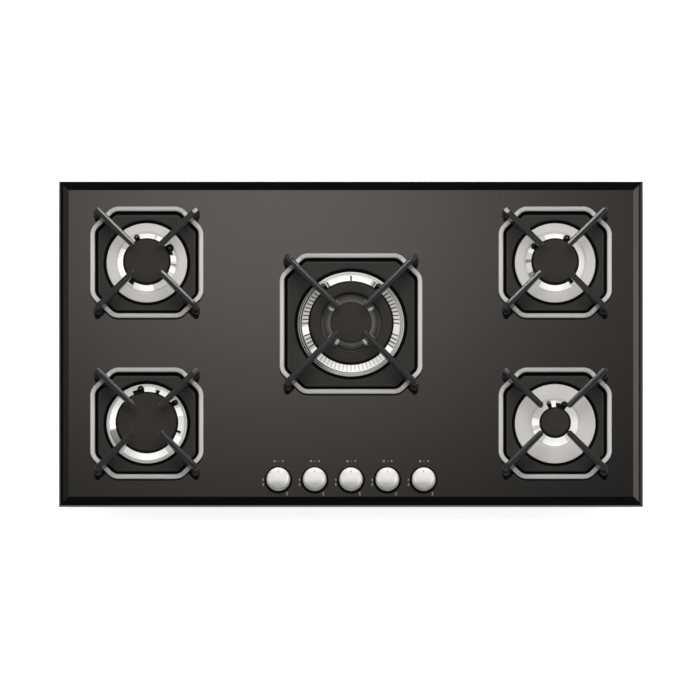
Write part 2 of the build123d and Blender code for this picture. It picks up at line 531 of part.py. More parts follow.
# ---------------------------------------------------------------- plugs, spindles and knobs
for name, x in TAPS.items():
    with BuildPart() as plug:
        with BuildSketch(Plane(origin=(x, KNOB_Y, 0), x_dir=(1, 0, 0), z_dir=(0, -1, 0))):
            with BuildLine():
                Polyline((0, 30.3), (PLUG_R, 30.3), (PLUG_R, 50.05), (8.4, 50.05), (8.4, 51.4), (SPINDLE_R + RUN, 51.4),
                         (SPINDLE_R + RUN, 38), (0, 38), close=True)
            make_face()
        revolve(axis=Axis((x, KNOB_Y, 0), (0, 0, 1)))
        # gas way through the plug, level with the outlet
        with BuildSketch(Plane(origin=(x, KNOB_Y + 10, TUBE_Z - 2), z_dir=(0, -1, 0))):
            Circle(1.6)
        extrude(amount=20, mode=Mode.SUBTRACT)
    save(plug.part, "tap_plug_" + name)

    with BuildPart() as spindle:
        with BuildSketch(Plane.XY.offset(44)):
            with Locations((x, KNOB_Y)):
                Circle(SPINDLE_R)
        extrude(amount=36)
        chamfer(spindle.faces().sort_by(Axis.Z)[-1].edges(), length=0.5)
        with BuildSketch(Plane.XY.offset(67)):
            with Locations((x, KNOB_Y + 4.3)):
                Rectangle(10, 4)
        extrude(amount=14, mode=Mode.SUBTRACT)
    save(spindle.part, "tap_spindle_" + name)

    with BuildPart() as knob:
        with BuildSketch(Plane(origin=(x, KNOB_Y, 0), x_dir=(1, 0, 0), z_dir=(0, -1, 0))):
            with BuildLine():
                z0, z1 = KNOB_Z0, KNOB_Z1
                l1 = Polyline((KNOB_R1 - 2.6, z1 - 0.9), (KNOB_R1 - 0.5, z1 - 2.6), (KNOB_R0 - 0.2, z0 + 3.0), (KNOB_R0, z0 + 0.8),
                              (KNOB_R0 - 0.8, z0), (KNOB_R0 - 2.2, z0), (KNOB_R1 - 2.6, z1 - 4.2), (6.0, z1 - 4.2), (6.0, z0 + 1.5),
                              (SPINDLE_R + RUN, z0 + 1.5), (SPINDLE_R + RUN, 80.2), (0, 80.2), (0, z1))
                ThreePointArc(l1 @ 1, (6.0, z1 - 0.25), l1 @ 0)
            make_face()
        revolve(axis=Axis((x, KNOB_Y, 0), (0, 0, 1)))
        # indicator notch near the rear edge of the top
        with BuildSketch(Plane.XY.offset(KNOB_Z1 - 1.2)):
            with Locations((x, KNOB_Y + 8.2)):
                SlotOverall(5.0, 1.2, rotation=90)
        extrude(amount=3, mode=Mode.SUBTRACT)
    save(knob.part, "knob_" + name)

# ---------------------------------------------------------------- pan supports
for name, b in BURNERS.items():
    cx, cy = b["c"]
    s = SUPPORT[kind(name)]
    # steel bar frame with cut corners
    with BuildPart() as frame:
        with BuildSketch(Plane.XY.offset(BAR_Z)) as ring:
            with BuildSketch(mode=Mode.PRIVATE) as outer:
                Polygon(*octagon(s["a"] + BAR_W / 2, s["d"] + BAR_W / 2), align=None)
                fillet(outer.vertices(), radius=s["rho"] + BAR_W / 2)
            with BuildSketch(mode=Mode.PRIVATE) as inner:
                Polygon(*octagon(s["a"] - BAR_W / 2, s["d"] - BAR_W / 2), align=None)
                fillet(inner.vertices(), radius=s["rho"] - BAR_W / 2)
            with Locations((cx, cy)):
                add(outer.sketch)
                add(inner.sketch, mode=Mode.SUBTRACT)
        extrude(amount=BAR_H)
        fillet(frame.faces().filter_by(Axis.Z).edges(), radius=2.3)
    save(frame.part, "pan_support_frame_" + name)

    # four cast arms
    rb_, rt_ = s["boss"], s["tip"]
    bar_in, bar_out = s["d"] - BAR_W / 2 - 1.5, s["d"] + BAR_W / 2 + 0.6
    top_bar = BAR_Z + BAR_H
    if name == "centre":
        low = [(rt_ + 34, 95.0), (rt_ + 62, 86.0), (bar_in - 6, top_bar + 4.0)]
    else:
        low = [(rt_ + 22, 95.0), (rt_ + 40, 86.0), (bar_in - 5, top_bar + 4.5)]
    prof = [(rt_, ARM_TOP), (rt_, 97.4)] + low + [(bar_in, top_bar), (bar_out, top_bar), (bar_out, 63.5), (rb_ + ARM_END, 63.5),
                                                 (rb_ + ARM_END, ARM_TOP)]
    with BuildPart() as arms:
        for k in range(4):
            th = radians(45 + 90 * k)
            pl = Plane(origin=(cx, cy, 0), x_dir=(cos(th), sin(th), 0), z_dir=(sin(th), -cos(th), 0))
            with BuildSketch(pl) as sk:
                with BuildLine():
                    Polyline(*prof, close=True)
                make_face()
                fillet(sk.vertices().sort_by_distance((rt_, ARM_TOP, 0))[0], radius=3.0)
                fillet(sk.vertices().sort_by_distance((rb_ + ARM_END, ARM_TOP, 0))[0], radius=6.0)
            extrude(amount=ARM_T / 2, both=True)
        side = [e for e in arms.edges() if abs(e.center().Z - ARM_TOP) < 0.01 and e.length > 20]
        fillet(side, radius=1.6)
        for k in range(4):
            px, py = polar((cx, cy), rb_, 45 + 90 * k)
            with BuildSketch(Plane.XY.offset(GT + 2)):
                with Locations((px, py)):
                    Circle(BOSS_R)
            extrude(amount=7)
            with BuildSketch(Plane.XY.offset(GT + 2)):
                with Locations((px, py)):
                    Circle(1.9)
            extrude(amount=4, mode=Mode.SUBTRACT)
    save(arms.part, "pan_support_arms_" + name)

    # rubber feet with a stem
    with BuildPart() as feet:
        for k in range(4):
            px, py = polar((cx, cy), rb_, 45 + 90 * k)
            with BuildSketch(Plane(origin=(px, py, 0), x_dir=(1, 0, 0), z_dir=(0, -1, 0))):
                with BuildLine():
                    Polyline((0, GT), (FOOT_R - 0.6, GT), (FOOT_R, GT + 0.6), (FOOT_R, GT + 2), (1.8, GT + 2), (1.8, GT + 5.8), (0, GT + 5.8),
                             close=True)
                make_face()
            revolve(axis=Axis((px, py, 0), (0, 0, 1)))
    save(feet.part, "pan_support_feet_" + name)

# ---------------------------------------------------------------- spark generator
with BuildPart() as ignition_module:
    mxx, myy = MODULE_C
    with BuildSketch(Plane.XY.offset(SHEET)):
        with Locations(MODULE_C):
            RectangleRounded(MODULE_S[0], MODULE_S[1], 4)
    extrude(amount=MODULE_S[2])
    fillet(ignition_module.faces().sort_by(Axis.Z)[-1].edges(), radius=1.5)
    with BuildSketch(Plane(origin=(mxx, myy + MODULE_S[1] / 2, 8), x_dir=(1, 0, 0), z_dir=(0, 1, 0))):
        with GridLocations(14, 0, 4, 1):
            Rectangle(6.3, 0.8)
    extrude(amount=8)
save(ignition_module.part, "ignition_module")

# ---------------------------------------------------------------- cable gland in the rear wall
with BuildPart() as cable_gland:
    with BuildSketch(Plane(origin=(GLAND_X, 0, GLAND_Z), x_dir=(1, 0, 0), z_dir=(0, 0, 1))):
        with BuildLine():
            yw = TRAY_Y / 2
            Polyline((GLAND_BORE, yw - 10), (8.0, yw - 10), (8.0, yw), (11, yw), (11, yw + 4), (8.5, yw + 5), (7.0, yw + 15),
                     (GLAND_BORE, yw + 16), close=True)
        make_face()
    revolve(axis=Axis((GLAND_X, 0, GLAND_Z), (0, 1, 0)))
    with BuildSketch(Plane(origin=(GLAND_X, yw - SHEET, GLAND_Z), x_dir=(1, 0, 0), z_dir=(0, -1, 0))):
        RegularPolygon(11, 6, major_radius=False)
        Circle(8.0 + RUN, mode=Mode.SUBTRACT)
    extrude(amount=5)
save(cable_gland.part, "cable_gland")

# ---------------------------------------------------------------- clamps that pull the hob down on the worktop
with BuildPart() as worktop_clamps:
    for s, y in CLAMPS:
        w = TRAY_X / 2
        with BuildSketch(Plane(origin=(0, y - 10, 0), x_dir=(1, 0, 0), z_dir=(0, -1, 0))):
            with BuildLine():
                Polyline((s * w, 38), (s * w, 14), (s * (w + 24), 14), (s * (w + 24), 21), (s * (w + 22.5), 21),
                         (s * (w + 22.5), 15.5), (s * (w + 1.5), 15.5), (s * (w + 1.5), 38), close=True)
            make_face()
        extrude(amount=-20)
        with BuildSketch(Plane(origin=(s * (w + 3), y, 30), x_dir=(0, 1, 0), z_dir=(-s, 0, 0))):
            Circle(SCREW_HOLE)
        extrude(amount=5, mode=Mode.SUBTRACT)
save(worktop_clamps.part, "worktop_clamps")

# ---------------------------------------------------------------- screws
screws = []
for x, (ya, yb) in BARS.items():
    for sx in (-1, 1):
        for y in (ya + 20, yb - 20):
            screws.append((Plane(origin=(x + sx * (BAR_HALF + 5), y, SHEET + BAR_SHEET)), SHEET + BAR_SHEET))
for b in BURNERS.values():
    for sy in (-1, 1):
        screws.append((Plane(origin=(b["c"][0], b["c"][1] + sy * (b["rb"] + 7), BAR_TOP + 3)), 7))
for s, y in CLAMPS:
    screws.append((Plane(origin=(s * (TRAY_X / 2 + 1.5), y, 30), z_dir=(s, 0, 0)), 8))
with BuildPart() as fixing_screws:
    for plane, grip in screws:
        with BuildSketch(plane):
            Circle(SCREW_R)
        extrude(amount=-grip)
        with BuildSketch(plane):
            Circle(HEAD_R)
        extrude(amount=2.2)
save(fixing_screws.part, "fixing_screws")
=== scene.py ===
import json
import math
import random
from math import pi, sin, cos, radians, sqrt, tan, hypot

import bmesh
import bpy
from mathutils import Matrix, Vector

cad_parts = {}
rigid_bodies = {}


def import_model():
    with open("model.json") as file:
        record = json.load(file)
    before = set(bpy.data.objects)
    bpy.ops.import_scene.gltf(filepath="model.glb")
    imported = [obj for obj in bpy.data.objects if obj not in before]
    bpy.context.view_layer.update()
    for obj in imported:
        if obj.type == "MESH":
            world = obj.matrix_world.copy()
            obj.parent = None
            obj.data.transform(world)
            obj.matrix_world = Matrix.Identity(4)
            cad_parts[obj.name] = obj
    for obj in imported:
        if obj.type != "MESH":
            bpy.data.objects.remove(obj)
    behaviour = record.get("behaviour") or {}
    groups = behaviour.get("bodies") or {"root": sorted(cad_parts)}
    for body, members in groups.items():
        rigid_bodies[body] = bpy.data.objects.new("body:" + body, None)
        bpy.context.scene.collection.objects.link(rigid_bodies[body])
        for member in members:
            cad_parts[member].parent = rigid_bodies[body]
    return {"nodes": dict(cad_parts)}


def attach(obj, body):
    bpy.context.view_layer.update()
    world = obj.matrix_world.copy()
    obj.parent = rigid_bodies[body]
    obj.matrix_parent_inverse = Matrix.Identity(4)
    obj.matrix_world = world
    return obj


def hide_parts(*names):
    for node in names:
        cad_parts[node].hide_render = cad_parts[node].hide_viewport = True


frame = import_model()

MM = 0.001
scene = bpy.context.scene
coll = scene.collection
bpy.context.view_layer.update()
random.seed(7)

# ------------------------------------------------------------------ sizes, in millimetres
GLASS_X, GLASS_Y, GLASS_Z0, GT = 900.0, 510.0, 52.0, 60.0
BASE = "hob_base"
BURNERS = {
    "rear_left":   dict(c=(-314.5, 126.0), rc=34.5, rk=45.5, rd=62.0, rn=16.6, rh=50.0, ig=32.0, tc=112.0, ni=6.4, nt=4.6, ports=30),
    "rear_right":  dict(c=(314.5, 126.0), rc=34.5, rk=45.5, rd=62.0, rn=16.6, rh=50.0, ig=142.0, tc=64.0, ni=4.6, nt=5.2, ports=30),
    "front_left":  dict(c=(-314.5, -126.0), rc=46.0, rk=58.0, rd=62.0, rn=20.6, rh=57.5, ig=36.0, tc=100.0, ni=4.6, nt=5.2, ports=42),
    "front_right": dict(c=(314.5, -126.0), rc=22.0, rk=36.0, rd=62.0, rn=12.6, rh=42.0, ig=64.0, tc=108.0, ni=5.4, nt=3.6, ports=20),
    "centre":      dict(c=(0.0, 30.0), rc=63.5, rk=76.0, rd=81.8, rn=24.6, rh=77.0, ig=54.0, tc=126.0, ni=4.4, nt=3.8, ports=72),
}
SEAT_Z, CROWN_TOP, INNER_TOP, CLEAR = 63.0, 75.2, 77.6, 0.4
BAR_W, BAR_H, BAR_Z = 8.0, 6.0, 62.5
SUPPORT = {
    "outer":  dict(a=83.6, d=95.3, rho=20.0, boss=106.8, tip=27.5),
    "centre": dict(a=106.4, d=127.2, rho=18.0, boss=138.4, tip=27.5),
}
ARM_TOP, ARM_END = 105.0, 5.2
PLATE_T, BRIM_T = 2.8, 0.8
PLATE = {"outer": dict(a=75.2, d=87.2, hole=66.5, brim=4.1), "centre": dict(a=98.2, d=118.9, hole=86.5, brim=4.0)}
KNOB_Y = -214.0
TAPS = {"front_left": -112.0, "rear_left": -56.0, "centre": 0.0, "rear_right": 56.0, "front_right": 112.0}
KNOB_R0, KNOB_R1, KNOB_Z0, KNOB_Z1 = 18.2, 15.0, 65.2, 85.5


def kind(name):
    return "centre" if name == "centre" else "outer"


# ------------------------------------------------------------------ camera and light
SCALE = 1.5406e-3          # metres to one pixel of the frame, on the plane of the glass
TILT = radians(10.4)
target = Vector((0.0, 0.0, GT * MM))
back = Vector((0.0, -sin(TILT), cos(TILT)))
up = Vector((0.0, cos(TILT), sin(TILT)))
aim = target - Vector((1, 0, 0)) * (1.0 * SCALE) - up * (6.55 * SCALE)
cam_data = bpy.data.cameras.new("camera")
CAM_DIST = 6.5             # seen from far away: the outline stays a rectangle
cam_data.type = "ORTHO"
cam_data.ortho_scale = 700 * SCALE
cam_data.clip_start, cam_data.clip_end = 0.05, 60.0
cam = bpy.data.objects.new("camera", cam_data)
coll.objects.link(cam)
cam.location = aim + back * CAM_DIST
cam.rotation_mode = "QUATERNION"
cam.rotation_quaternion = (-back).to_track_quat("-Z", "Y")
scene.camera = cam
scene.view_settings.view_transform = "Standard"

world = bpy.data.worlds.new("studio")
scene.world = world
world.use_nodes = True
world.node_tree.nodes["Background"].inputs["Color"].default_value = (1.0, 0.985, 0.965, 1)
world.node_tree.nodes["Background"].inputs["Strength"].default_value = 0.055


def nodes_of(mat):
    mat.use_nodes = True
    nt = mat.node_tree
    nt.nodes.clear()
    return nt


def math_node(nt, op, a, b=None):
    n = nt.nodes.new("ShaderNodeMath")
    n.operation = op
    for i, v in enumerate((a, b)):
        if v is None:
            continue
        if isinstance(v, (int, float)):
            n.inputs[i].default_value = v
        else:
            nt.links.new(v, n.inputs[i])
    return n.outputs[0]


def plane(name, size_x, size_y, mat):
    me = bpy.data.meshes.new(name)
    x, y = size_x / 2, size_y / 2
    me.from_pydata([(-x, -y, 0), (x, -y, 0), (x, y, 0), (-x, y, 0)], [], [(0, 1, 2, 3)])
    me.materials.append(mat)
    ob = bpy.data.objects.new(name, me)
    coll.objects.link(ob)
    return ob


# overhead soft light: brighter behind and to the left, so that the glass shows a soft gradient
CARD_Z = 2.0
card_mat = bpy.data.materials.new("overhead_card")
nt = nodes_of(card_mat)
tc = nt.nodes.new("ShaderNodeTexCoord")
sep = nt.nodes.new("ShaderNodeSeparateXYZ")
nt.links.new(tc.outputs["Object"], sep.inputs[0])
shift = (CARD_Z - GT * MM) * tan(TILT)


def blob(cx, cy, rx, ry, amp):
    dx = math_node(nt, "DIVIDE", math_node(nt, "SUBTRACT", sep.outputs[0], cx), rx)
    dy = math_node(nt, "DIVIDE", math_node(nt, "SUBTRACT", sep.outputs[1], cy + shift), ry)
    d2 = math_node(nt, "ADD", math_node(nt, "MULTIPLY", dx, dx), math_node(nt, "MULTIPLY", dy, dy))
    return math_node(nt, "MULTIPLY", math_node(nt, "EXPONENT", math_node(nt, "MULTIPLY", d2, -1.0)), amp)


glow = math_node(nt, "ADD", blob(-0.12, 0.27, 0.42, 0.42, 1.72), 0.20)
glow = math_node(nt, "ADD", glow, blob(0.0, 0.16, 3.0, 0.36, 0.24))
glow = math_node(nt, "ADD", glow, blob(1.145, 0.02, 0.06, 0.7, 1.75))
em = nt.nodes.new("ShaderNodeEmission")
em.inputs["Color"].default_value = (1.0, 0.945, 0.90, 1)
nt.links.new(glow, em.inputs["Strength"])
out = nt.nodes.new("ShaderNodeOutputMaterial")
nt.links.new(em.outputs[0], out.inputs["Surface"])
card = plane("overhead_card", 2.52, 1.46, card_mat)
card.location = (0.10, 0.25, CARD_Z)
# its own coordinates are the object's, so the offset is taken off again
for v in card.data.vertices:
    v.co.x -= 0.05
    v.co.y += 0.25
card.location = (0.0, 0.0, CARD_Z)
card.visible_camera = False
card.visible_shadow = False


def area(name, loc, look, sx, sy, watts, colour=(1, 1, 1)):
    li = bpy.data.lights.new(name, "AREA")
    li.shape = "RECTANGLE"
    li.size, li.size_y = sx, sy
    li.energy = watts
    li.color = colour
    ob = bpy.data.objects.new(name, li)
    coll.objects.link(ob)
    ob.location = loc
    ob.rotation_mode = "QUATERNION"
    ob.rotation_quaternion = (Vector(look) - Vector(loc)).to_track_quat("-Z", "Y")
    return ob


over = area("soft_overhead", (0.0, 0.75, 1.8), (0, 0.0, 0.06), 2.4, 1.6, 40, (1.0, 0.985, 0.965))
over.visible_glossy = False
area("fill_front", (0.0, -2.3, 1.05), (0, -0.1, 0.06), 2.6, 0.9, 18, (1.0, 0.98, 0.96))
area("fill_left", (-2.3, 0.1, 1.0), (-0.2, 0, 0.06), 1.6, 0.8, 12, (1.0, 0.98, 0.96))
area("fill_right", (2.3, 0.1, 1.0), (0.2, 0, 0.06), 1.6, 0.8, 14, (1.0, 0.98, 0.96))
kick = area("kick_rear", (0.0, 0.62, 0.92), (0, 0.12, 0.1), 0.30, 0.18, 4.6, (1.0, 0.98, 0.95))
kick.visible_diffuse = False

# low soft band all round, seen only in the flanks of the burners, the bars and the knobs
band_mat = bpy.data.materials.new("low_band")
nt = nodes_of(band_mat)
tc = nt.nodes.new("ShaderNodeTexCoord")
sep = nt.nodes.new("ShaderNodeSeparateXYZ")
nt.links.new(tc.outputs["Object"], sep.inputs[0])
wave = nt.nodes.new("ShaderNodeTexNoise")
wave.inputs["Scale"].default_value = 0.55
wave.inputs["Detail"].default_value = 1
nt.links.new(tc.outputs["Object"], wave.inputs["Vector"])
level = nt.nodes.new("ShaderNodeMapRange")
level.inputs["From Min"].default_value, level.inputs["From Max"].default_value = 0.30, 0.70
level.inputs["To Min"].default_value, level.inputs["To Max"].default_value = 0.5, 1.15
nt.links.new(wave.outputs["Fac"], level.inputs["Value"])
em = nt.nodes.new("ShaderNodeEmission")
em.inputs["Color"].default_value = (1.0, 0.985, 0.965, 1)
lift = nt.nodes.new("ShaderNodeMapRange")
lift.interpolation_type = "SMOOTHSTEP"
lift.inputs["From Min"].default_value, lift.inputs["From Max"].default_value = 0.08, 0.5
lift.inputs["To Min"].default_value, lift.inputs["To Max"].default_value = 2.1, 1.0
nt.links.new(sep.outputs[2], lift.inputs["Value"])
nt.links.new(math_node(nt, "MULTIPLY", level.outputs[0], lift.outputs[0]), em.inputs["Strength"])
out = nt.nodes.new("ShaderNodeOutputMaterial")
nt.links.new(em.outputs[0], out.inputs["Surface"])
me = bpy.data.meshes.new("low_band")
N, R = 96, 2.7
vs = [(R * cos(2 * pi * k / N), R * sin(2 * pi * k / N), 0.0) for k in range(N)]
# taller on the right, where the outer bevel of the glass shines
vs += [(R * cos(2 * pi * k / N), R * sin(2 * pi * k / N), 3.0 if cos(2 * pi * k / N) > 0.86 else 1.5) for k in range(N)]
me.from_pydata(vs, [], [(k, (k + 1) % N, N + (k + 1) % N, N + k) for k in range(N)])
me.materials.append(band_mat)
band = bpy.data.objects.new("low_band", me)
coll.objects.link(band)
band.visible_camera = False
band.visible_shadow = False

# floor and backdrop
floor_mat = bpy.data.materials.new("floor_pale")
nt = nodes_of(floor_mat)
p = nt.nodes.new("ShaderNodeBsdfPrincipled")
p.inputs["Base Color"].default_value = (0.86, 0.86, 0.86, 1)
p.inputs["Roughness"].default_value = 0.9
p.inputs["Specular IOR Level"].default_value = 0.1
p.inputs["Emission Color"].default_value = (1, 1, 1, 1)
p.inputs["Emission Strength"].default_value = 0.62
out = nt.nodes.new("ShaderNodeOutputMaterial")
nt.links.new(p.outputs[0], out.inputs["Surface"])
floor = plane("floor", 36, 36, floor_mat)
floor.location = (0, 0, -0.0005)

back_mat = bpy.data.materials.new("backdrop_pale")
nt = nodes_of(back_mat)
e = nt.nodes.new("ShaderNodeEmission")
e.inputs["Color"].default_value = (1, 1, 1, 1)
e.inputs["Strength"].default_value = 0.96
out = nt.nodes.new("ShaderNodeOutputMaterial")
nt.links.new(e.outputs[0], out.inputs["Surface"])
bm = bmesh.new()
bmesh.ops.create_uvsphere(bm, u_segments=48, v_segments=24, radius=17.0)
me = bpy.data.meshes.new("backdrop")
bm.to_mesh(me)
bm.free()
me.materials.append(back_mat)
backdrop = bpy.data.objects.new("backdrop", me)
coll.objects.link(backdrop)
backdrop.visible_diffuse = backdrop.visible_glossy = backdrop.visible_transmission = backdrop.visible_shadow = False


# ------------------------------------------------------------------ materials
def finish_material(name, base, rough, metal=0.0, vary=0.0, vary_scale=40.0, rough_vary=0.05, rough_scale=120.0,
                    bump=0.0, bump_scale=400.0, coat=0.0, coat_rough=0.05, ior=1.5, spec=0.5, edge=0.0, stretch=(1, 1, 1),
                    tint=None, aniso=0.0, fleck=0.0):
    """Principled surface with procedural variation of colour, roughness and relief."""
    m = bpy.data.materials.new(name)
    nt = nodes_of(m)
    L = nt.links
    tc = nt.nodes.new("ShaderNodeTexCoord")
    mp = nt.nodes.new("ShaderNodeMapping")
    mp.inputs["Scale"].default_value = stretch
    L.new(tc.outputs["Object"], mp.inputs["Vector"])
    p = nt.nodes.new("ShaderNodeBsdfPrincipled")
    out = nt.nodes.new("ShaderNodeOutputMaterial")
    L.new(p.outputs[0], out.inputs["Surface"])
    p.inputs["Metallic"].default_value = metal
    p.inputs["IOR"].default_value = ior
    p.inputs["Specular IOR Level"].default_value = spec
    p.inputs["Coat Weight"].default_value = coat
    p.inputs["Coat Roughness"].default_value = coat_rough
    if aniso:
        p.inputs["Anisotropic"].default_value = aniso
    # colour: large soft clouds, then fine grain
    n1 = nt.nodes.new("ShaderNodeTexNoise")
    n1.inputs["Scale"].default_value = vary_scale
    n1.inputs["Detail"].default_value = 5
    n1.inputs["Roughness"].default_value = 0.6
    L.new(mp.outputs[0], n1.inputs["Vector"])
    mix = nt.nodes.new("ShaderNodeMix")
    mix.data_type = "RGBA"
    dark = tuple(max(0.0, c * (1 - vary)) for c in base)
    lite = tuple(min(1.0, c * (1 + vary)) for c in (tint or base))
    mix.inputs[6].default_value = (*dark, 1)
    mix.inputs[7].default_value = (*lite, 1)
    L.new(n1.outputs["Fac"], mix.inputs[0])
    colour = mix.outputs[2]
    if edge:
        # worn, lighter edges
        geo = nt.nodes.new("ShaderNodeNewGeometry")
        ramp = nt.nodes.new("ShaderNodeMapRange")
        ramp.inputs["From Min"].default_value = 0.52
        ramp.inputs["From Max"].default_value = 0.60
        L.new(geo.outputs["Pointiness"], ramp.inputs["Value"])
        n4 = nt.nodes.new("ShaderNodeTexNoise")
        n4.inputs["Scale"].default_value = 260
        L.new(tc.outputs["Object"], n4.inputs["Vector"])
        f = math_node(nt, "MULTIPLY", math_node(nt, "MULTIPLY", ramp.outputs[0], n4.outputs["Fac"]), edge)
        mix2 = nt.nodes.new("ShaderNodeMix")
        mix2.data_type = "RGBA"
        L.new(f, mix2.inputs[0])
        L.new(colour, mix2.inputs[6])
        mix2.inputs[7].default_value = (*(min(1.0, c * 2.2 + 0.06) for c in base), 1)
        colour = mix2.outputs[2]
    L.new(colour, p.inputs["Base Color"])
    n2 = nt.nodes.new("ShaderNodeTexNoise")
    n2.inputs["Scale"].default_value = rough_scale
    n2.inputs["Detail"].default_value = 4
    L.new(mp.outputs[0], n2.inputs["Vector"])
    r = nt.nodes.new("ShaderNodeMapRange")
    r.inputs["To Min"].default_value = max(0.0, rough - rough_vary)
    r.inputs["To Max"].default_value = rough + rough_vary
    L.new(n2.outputs["Fac"], r.inputs["Value"])
    L.new(r.outputs[0], p.inputs["Roughness"])
    if bump:
        n3 = nt.nodes.new("ShaderNodeTexNoise")
        n3.inputs["Scale"].default_value = bump_scale
        n3.inputs["Detail"].default_value = 6
        n3.inputs["Roughness"].default_value = 0.62
        L.new(mp.outputs[0], n3.inputs["Vector"])
        b = nt.nodes.new("ShaderNodeBump")
        b.inputs["Strength"].default_value = 1.0
        b.inputs["Distance"].default_value = bump * MM
        L.new(n3.outputs["Fac"], b.inputs["Height"])
        L.new(b.outputs[0], p.inputs["Normal"])
        if coat:
            L.new(b.outputs[0], p.inputs["Coat Normal"])
    return m


GLASS = finish_material("glass_black", (0.0012, 0.0010, 0.0009), 0.045, vary=0.10, vary_scale=3.0, rough_vary=0.02, rough_scale=9.0,
                        ior=1.60, bump=0.004, bump_scale=14.0)
next(n for n in GLASS.node_tree.nodes if n.type == "BSDF_PRINCIPLED").inputs["Specular Tint"].default_value = (1.0, 0.955, 0.92, 1)
DISH = finish_material("dish_satin_steel", (0.515, 0.504, 0.491), 0.42, metal=0.10, vary=0.03, vary_scale=60, rough_vary=0.05,
                       rough_scale=300, bump=0.002, bump_scale=900, spec=0.25)
# near-white copy of the ring's aluminium: painted highlight on the flanks
CROWN_PAINTED_HIGHLIGHT = finish_material("crown_aluminium_painted_highlight", (0.95, 0.945, 0.935), 0.42, metal=0.35, vary=0.05, vary_scale=60, rough_vary=0.04,
                        rough_scale=90)
CROWN_SATIN = finish_material("crown_plain_aluminium", (0.62, 0.61, 0.597), 0.46, metal=0.25, vary=0.08, vary_scale=70, rough_vary=0.04,
                              rough_scale=90)
# grey copy of the ring's aluminium: painted darker reflection on the flanks
CROWN_PAINTED_GREY_REFLECTION = finish_material("crown_aluminium_painted_grey_reflection", (0.20, 0.193, 0.185), 0.42, metal=0.3, vary=0.15, vary_scale=120, rough_vary=0.04,
                             rough_scale=90)
CROWN_MID = finish_material("crown_satin_aluminium", (0.50, 0.492, 0.48), 0.40, metal=0.40, vary=0.06, vary_scale=120, rough_vary=0.05,
                            rough_scale=90)
# dark copy of the aluminium for the middle burner's inner cone and insides: painted shade in the groove
CROWN_PAINTED_GROOVE_SHADE = finish_material("crown_aluminium_painted_groove_shade", (0.10, 0.095, 0.09), 0.50, metal=0.4, vary=0.12, vary_scale=90, rough_vary=0.08,
                             rough_scale=400, bump=0.01, bump_scale=800)
CROWN_LUG = finish_material("crown_lug_aluminium", (0.60, 0.59, 0.572), 0.34, metal=0.5, vary=0.08, vary_scale=140, rough_vary=0.06,
                            rough_scale=400, bump=0.006, bump_scale=900)
# near-black painted shade: port walls, notches, cap edges, dark flank patches and the electrode sleeves, where the
# burners lie in shade
BLACK_PAINTED_SHADE = finish_material("black_painted_shade", (0.0035, 0.0031, 0.0028), 0.62, vary=0.3, vary_scale=220, bump=0.03, bump_scale=1200, spec=0.10)
# slot bottoms of the middle ring: painted shade, and a pale copy as painted light in the front slots
GROOVE = finish_material("groove_shade", (0.12, 0.114, 0.108), 0.5, metal=0.4, vary=0.2, vary_scale=220, bump=0.01, bump_scale=900)
GROOVE_PAINTED_LIGHT = finish_material("groove_painted_light", (0.70, 0.69, 0.675), 0.44, metal=0.35, vary=0.1, vary_scale=120)
ENAMEL = finish_material("black_enamel", (0.0255, 0.0232, 0.021), 0.46, vary=0.10, vary_scale=30, rough_vary=0.05, rough_scale=120,
                         bump=0.006, bump_scale=1500, spec=0.15)
# a touch lighter than the enamel: painted highlight on the plate's rim bevel; its extra gloss is a surface setting
ENAMEL_EDGE_PAINTED_HIGHLIGHT = finish_material("black_enamel_edge_painted_highlight", (0.031, 0.029, 0.026), 0.38, vary=0.10, vary_scale=30, rough_vary=0.05,
                              rough_scale=120, bump=0.004, bump_scale=1500, spec=0.38)
# near-black matt brim: painted shade for the gaps beside the spill plate
BRIM_PAINTED_SHADE = finish_material("black_brim_painted_shade", (0.0015, 0.0014, 0.0013), 0.62, vary=0.3, vary_scale=150, rough_vary=0.05, rough_scale=300,
                       bump=0.02, bump_scale=1300, spec=0.05)
ENAMEL_CAP = finish_material("cap_enamel", (0.0265, 0.0235, 0.0212), 0.50, vary=0.08, vary_scale=45, rough_vary=0.05, rough_scale=160,
                             bump=0.006, bump_scale=1600, spec=0.08)
IRON = finish_material("cast_iron_enamelled", (0.0175, 0.0160, 0.0147), 0.24, vary=0.12, vary_scale=80, rough_vary=0.03,
                       rough_scale=500, bump=0.003, bump_scale=700, spec=0.36)
BAR_PAINTED_SHADING = finish_material("bar_satin_steel", (0.030, 0.029, 0.028), 0.42, metal=0.10, vary=0.02, vary_scale=50, rough_vary=0.05,
                      rough_scale=260, bump=0.0015, bump_scale=900, spec=0.12)
BAR_FRONT_REAR_PAINTED_SHADE = finish_material("bar_satin_steel_front_rear_painted_shade", (0.030, 0.029, 0.028), 0.42, metal=0.10, vary=0.02, vary_scale=50, rough_vary=0.05,
                          rough_scale=260, bump=0.0015, bump_scale=900, spec=0.12)


def ramp_on(mat, axis, lo, hi, colour):
    """Blend the base colour towards another one along an axis of the object."""
    nt = mat.node_tree
    p = next(n for n in nt.nodes if n.type == "BSDF_PRINCIPLED")
    tcn = nt.nodes.new("ShaderNodeTexCoord")
    sp = nt.nodes.new("ShaderNodeSeparateXYZ")
    nt.links.new(tcn.outputs["Object"], sp.inputs[0])
    mr = nt.nodes.new("ShaderNodeMapRange")
    mr.interpolation_type = "SMOOTHSTEP"
    mr.inputs["From Min"].default_value, mr.inputs["From Max"].default_value = lo, hi
    nt.links.new(sp.outputs[axis], mr.inputs["Value"])
    old = p.inputs["Base Color"].links[0].from_socket
    mx = nt.nodes.new("ShaderNodeMix")
    mx.data_type = "RGBA"
    nt.links.new(mr.outputs[0], mx.inputs[0])
    nt.links.new(old, mx.inputs[6])
    mx.inputs[7].default_value = (*colour, 1)
    nt.links.new(mx.outputs[2], p.inputs["Base Color"])
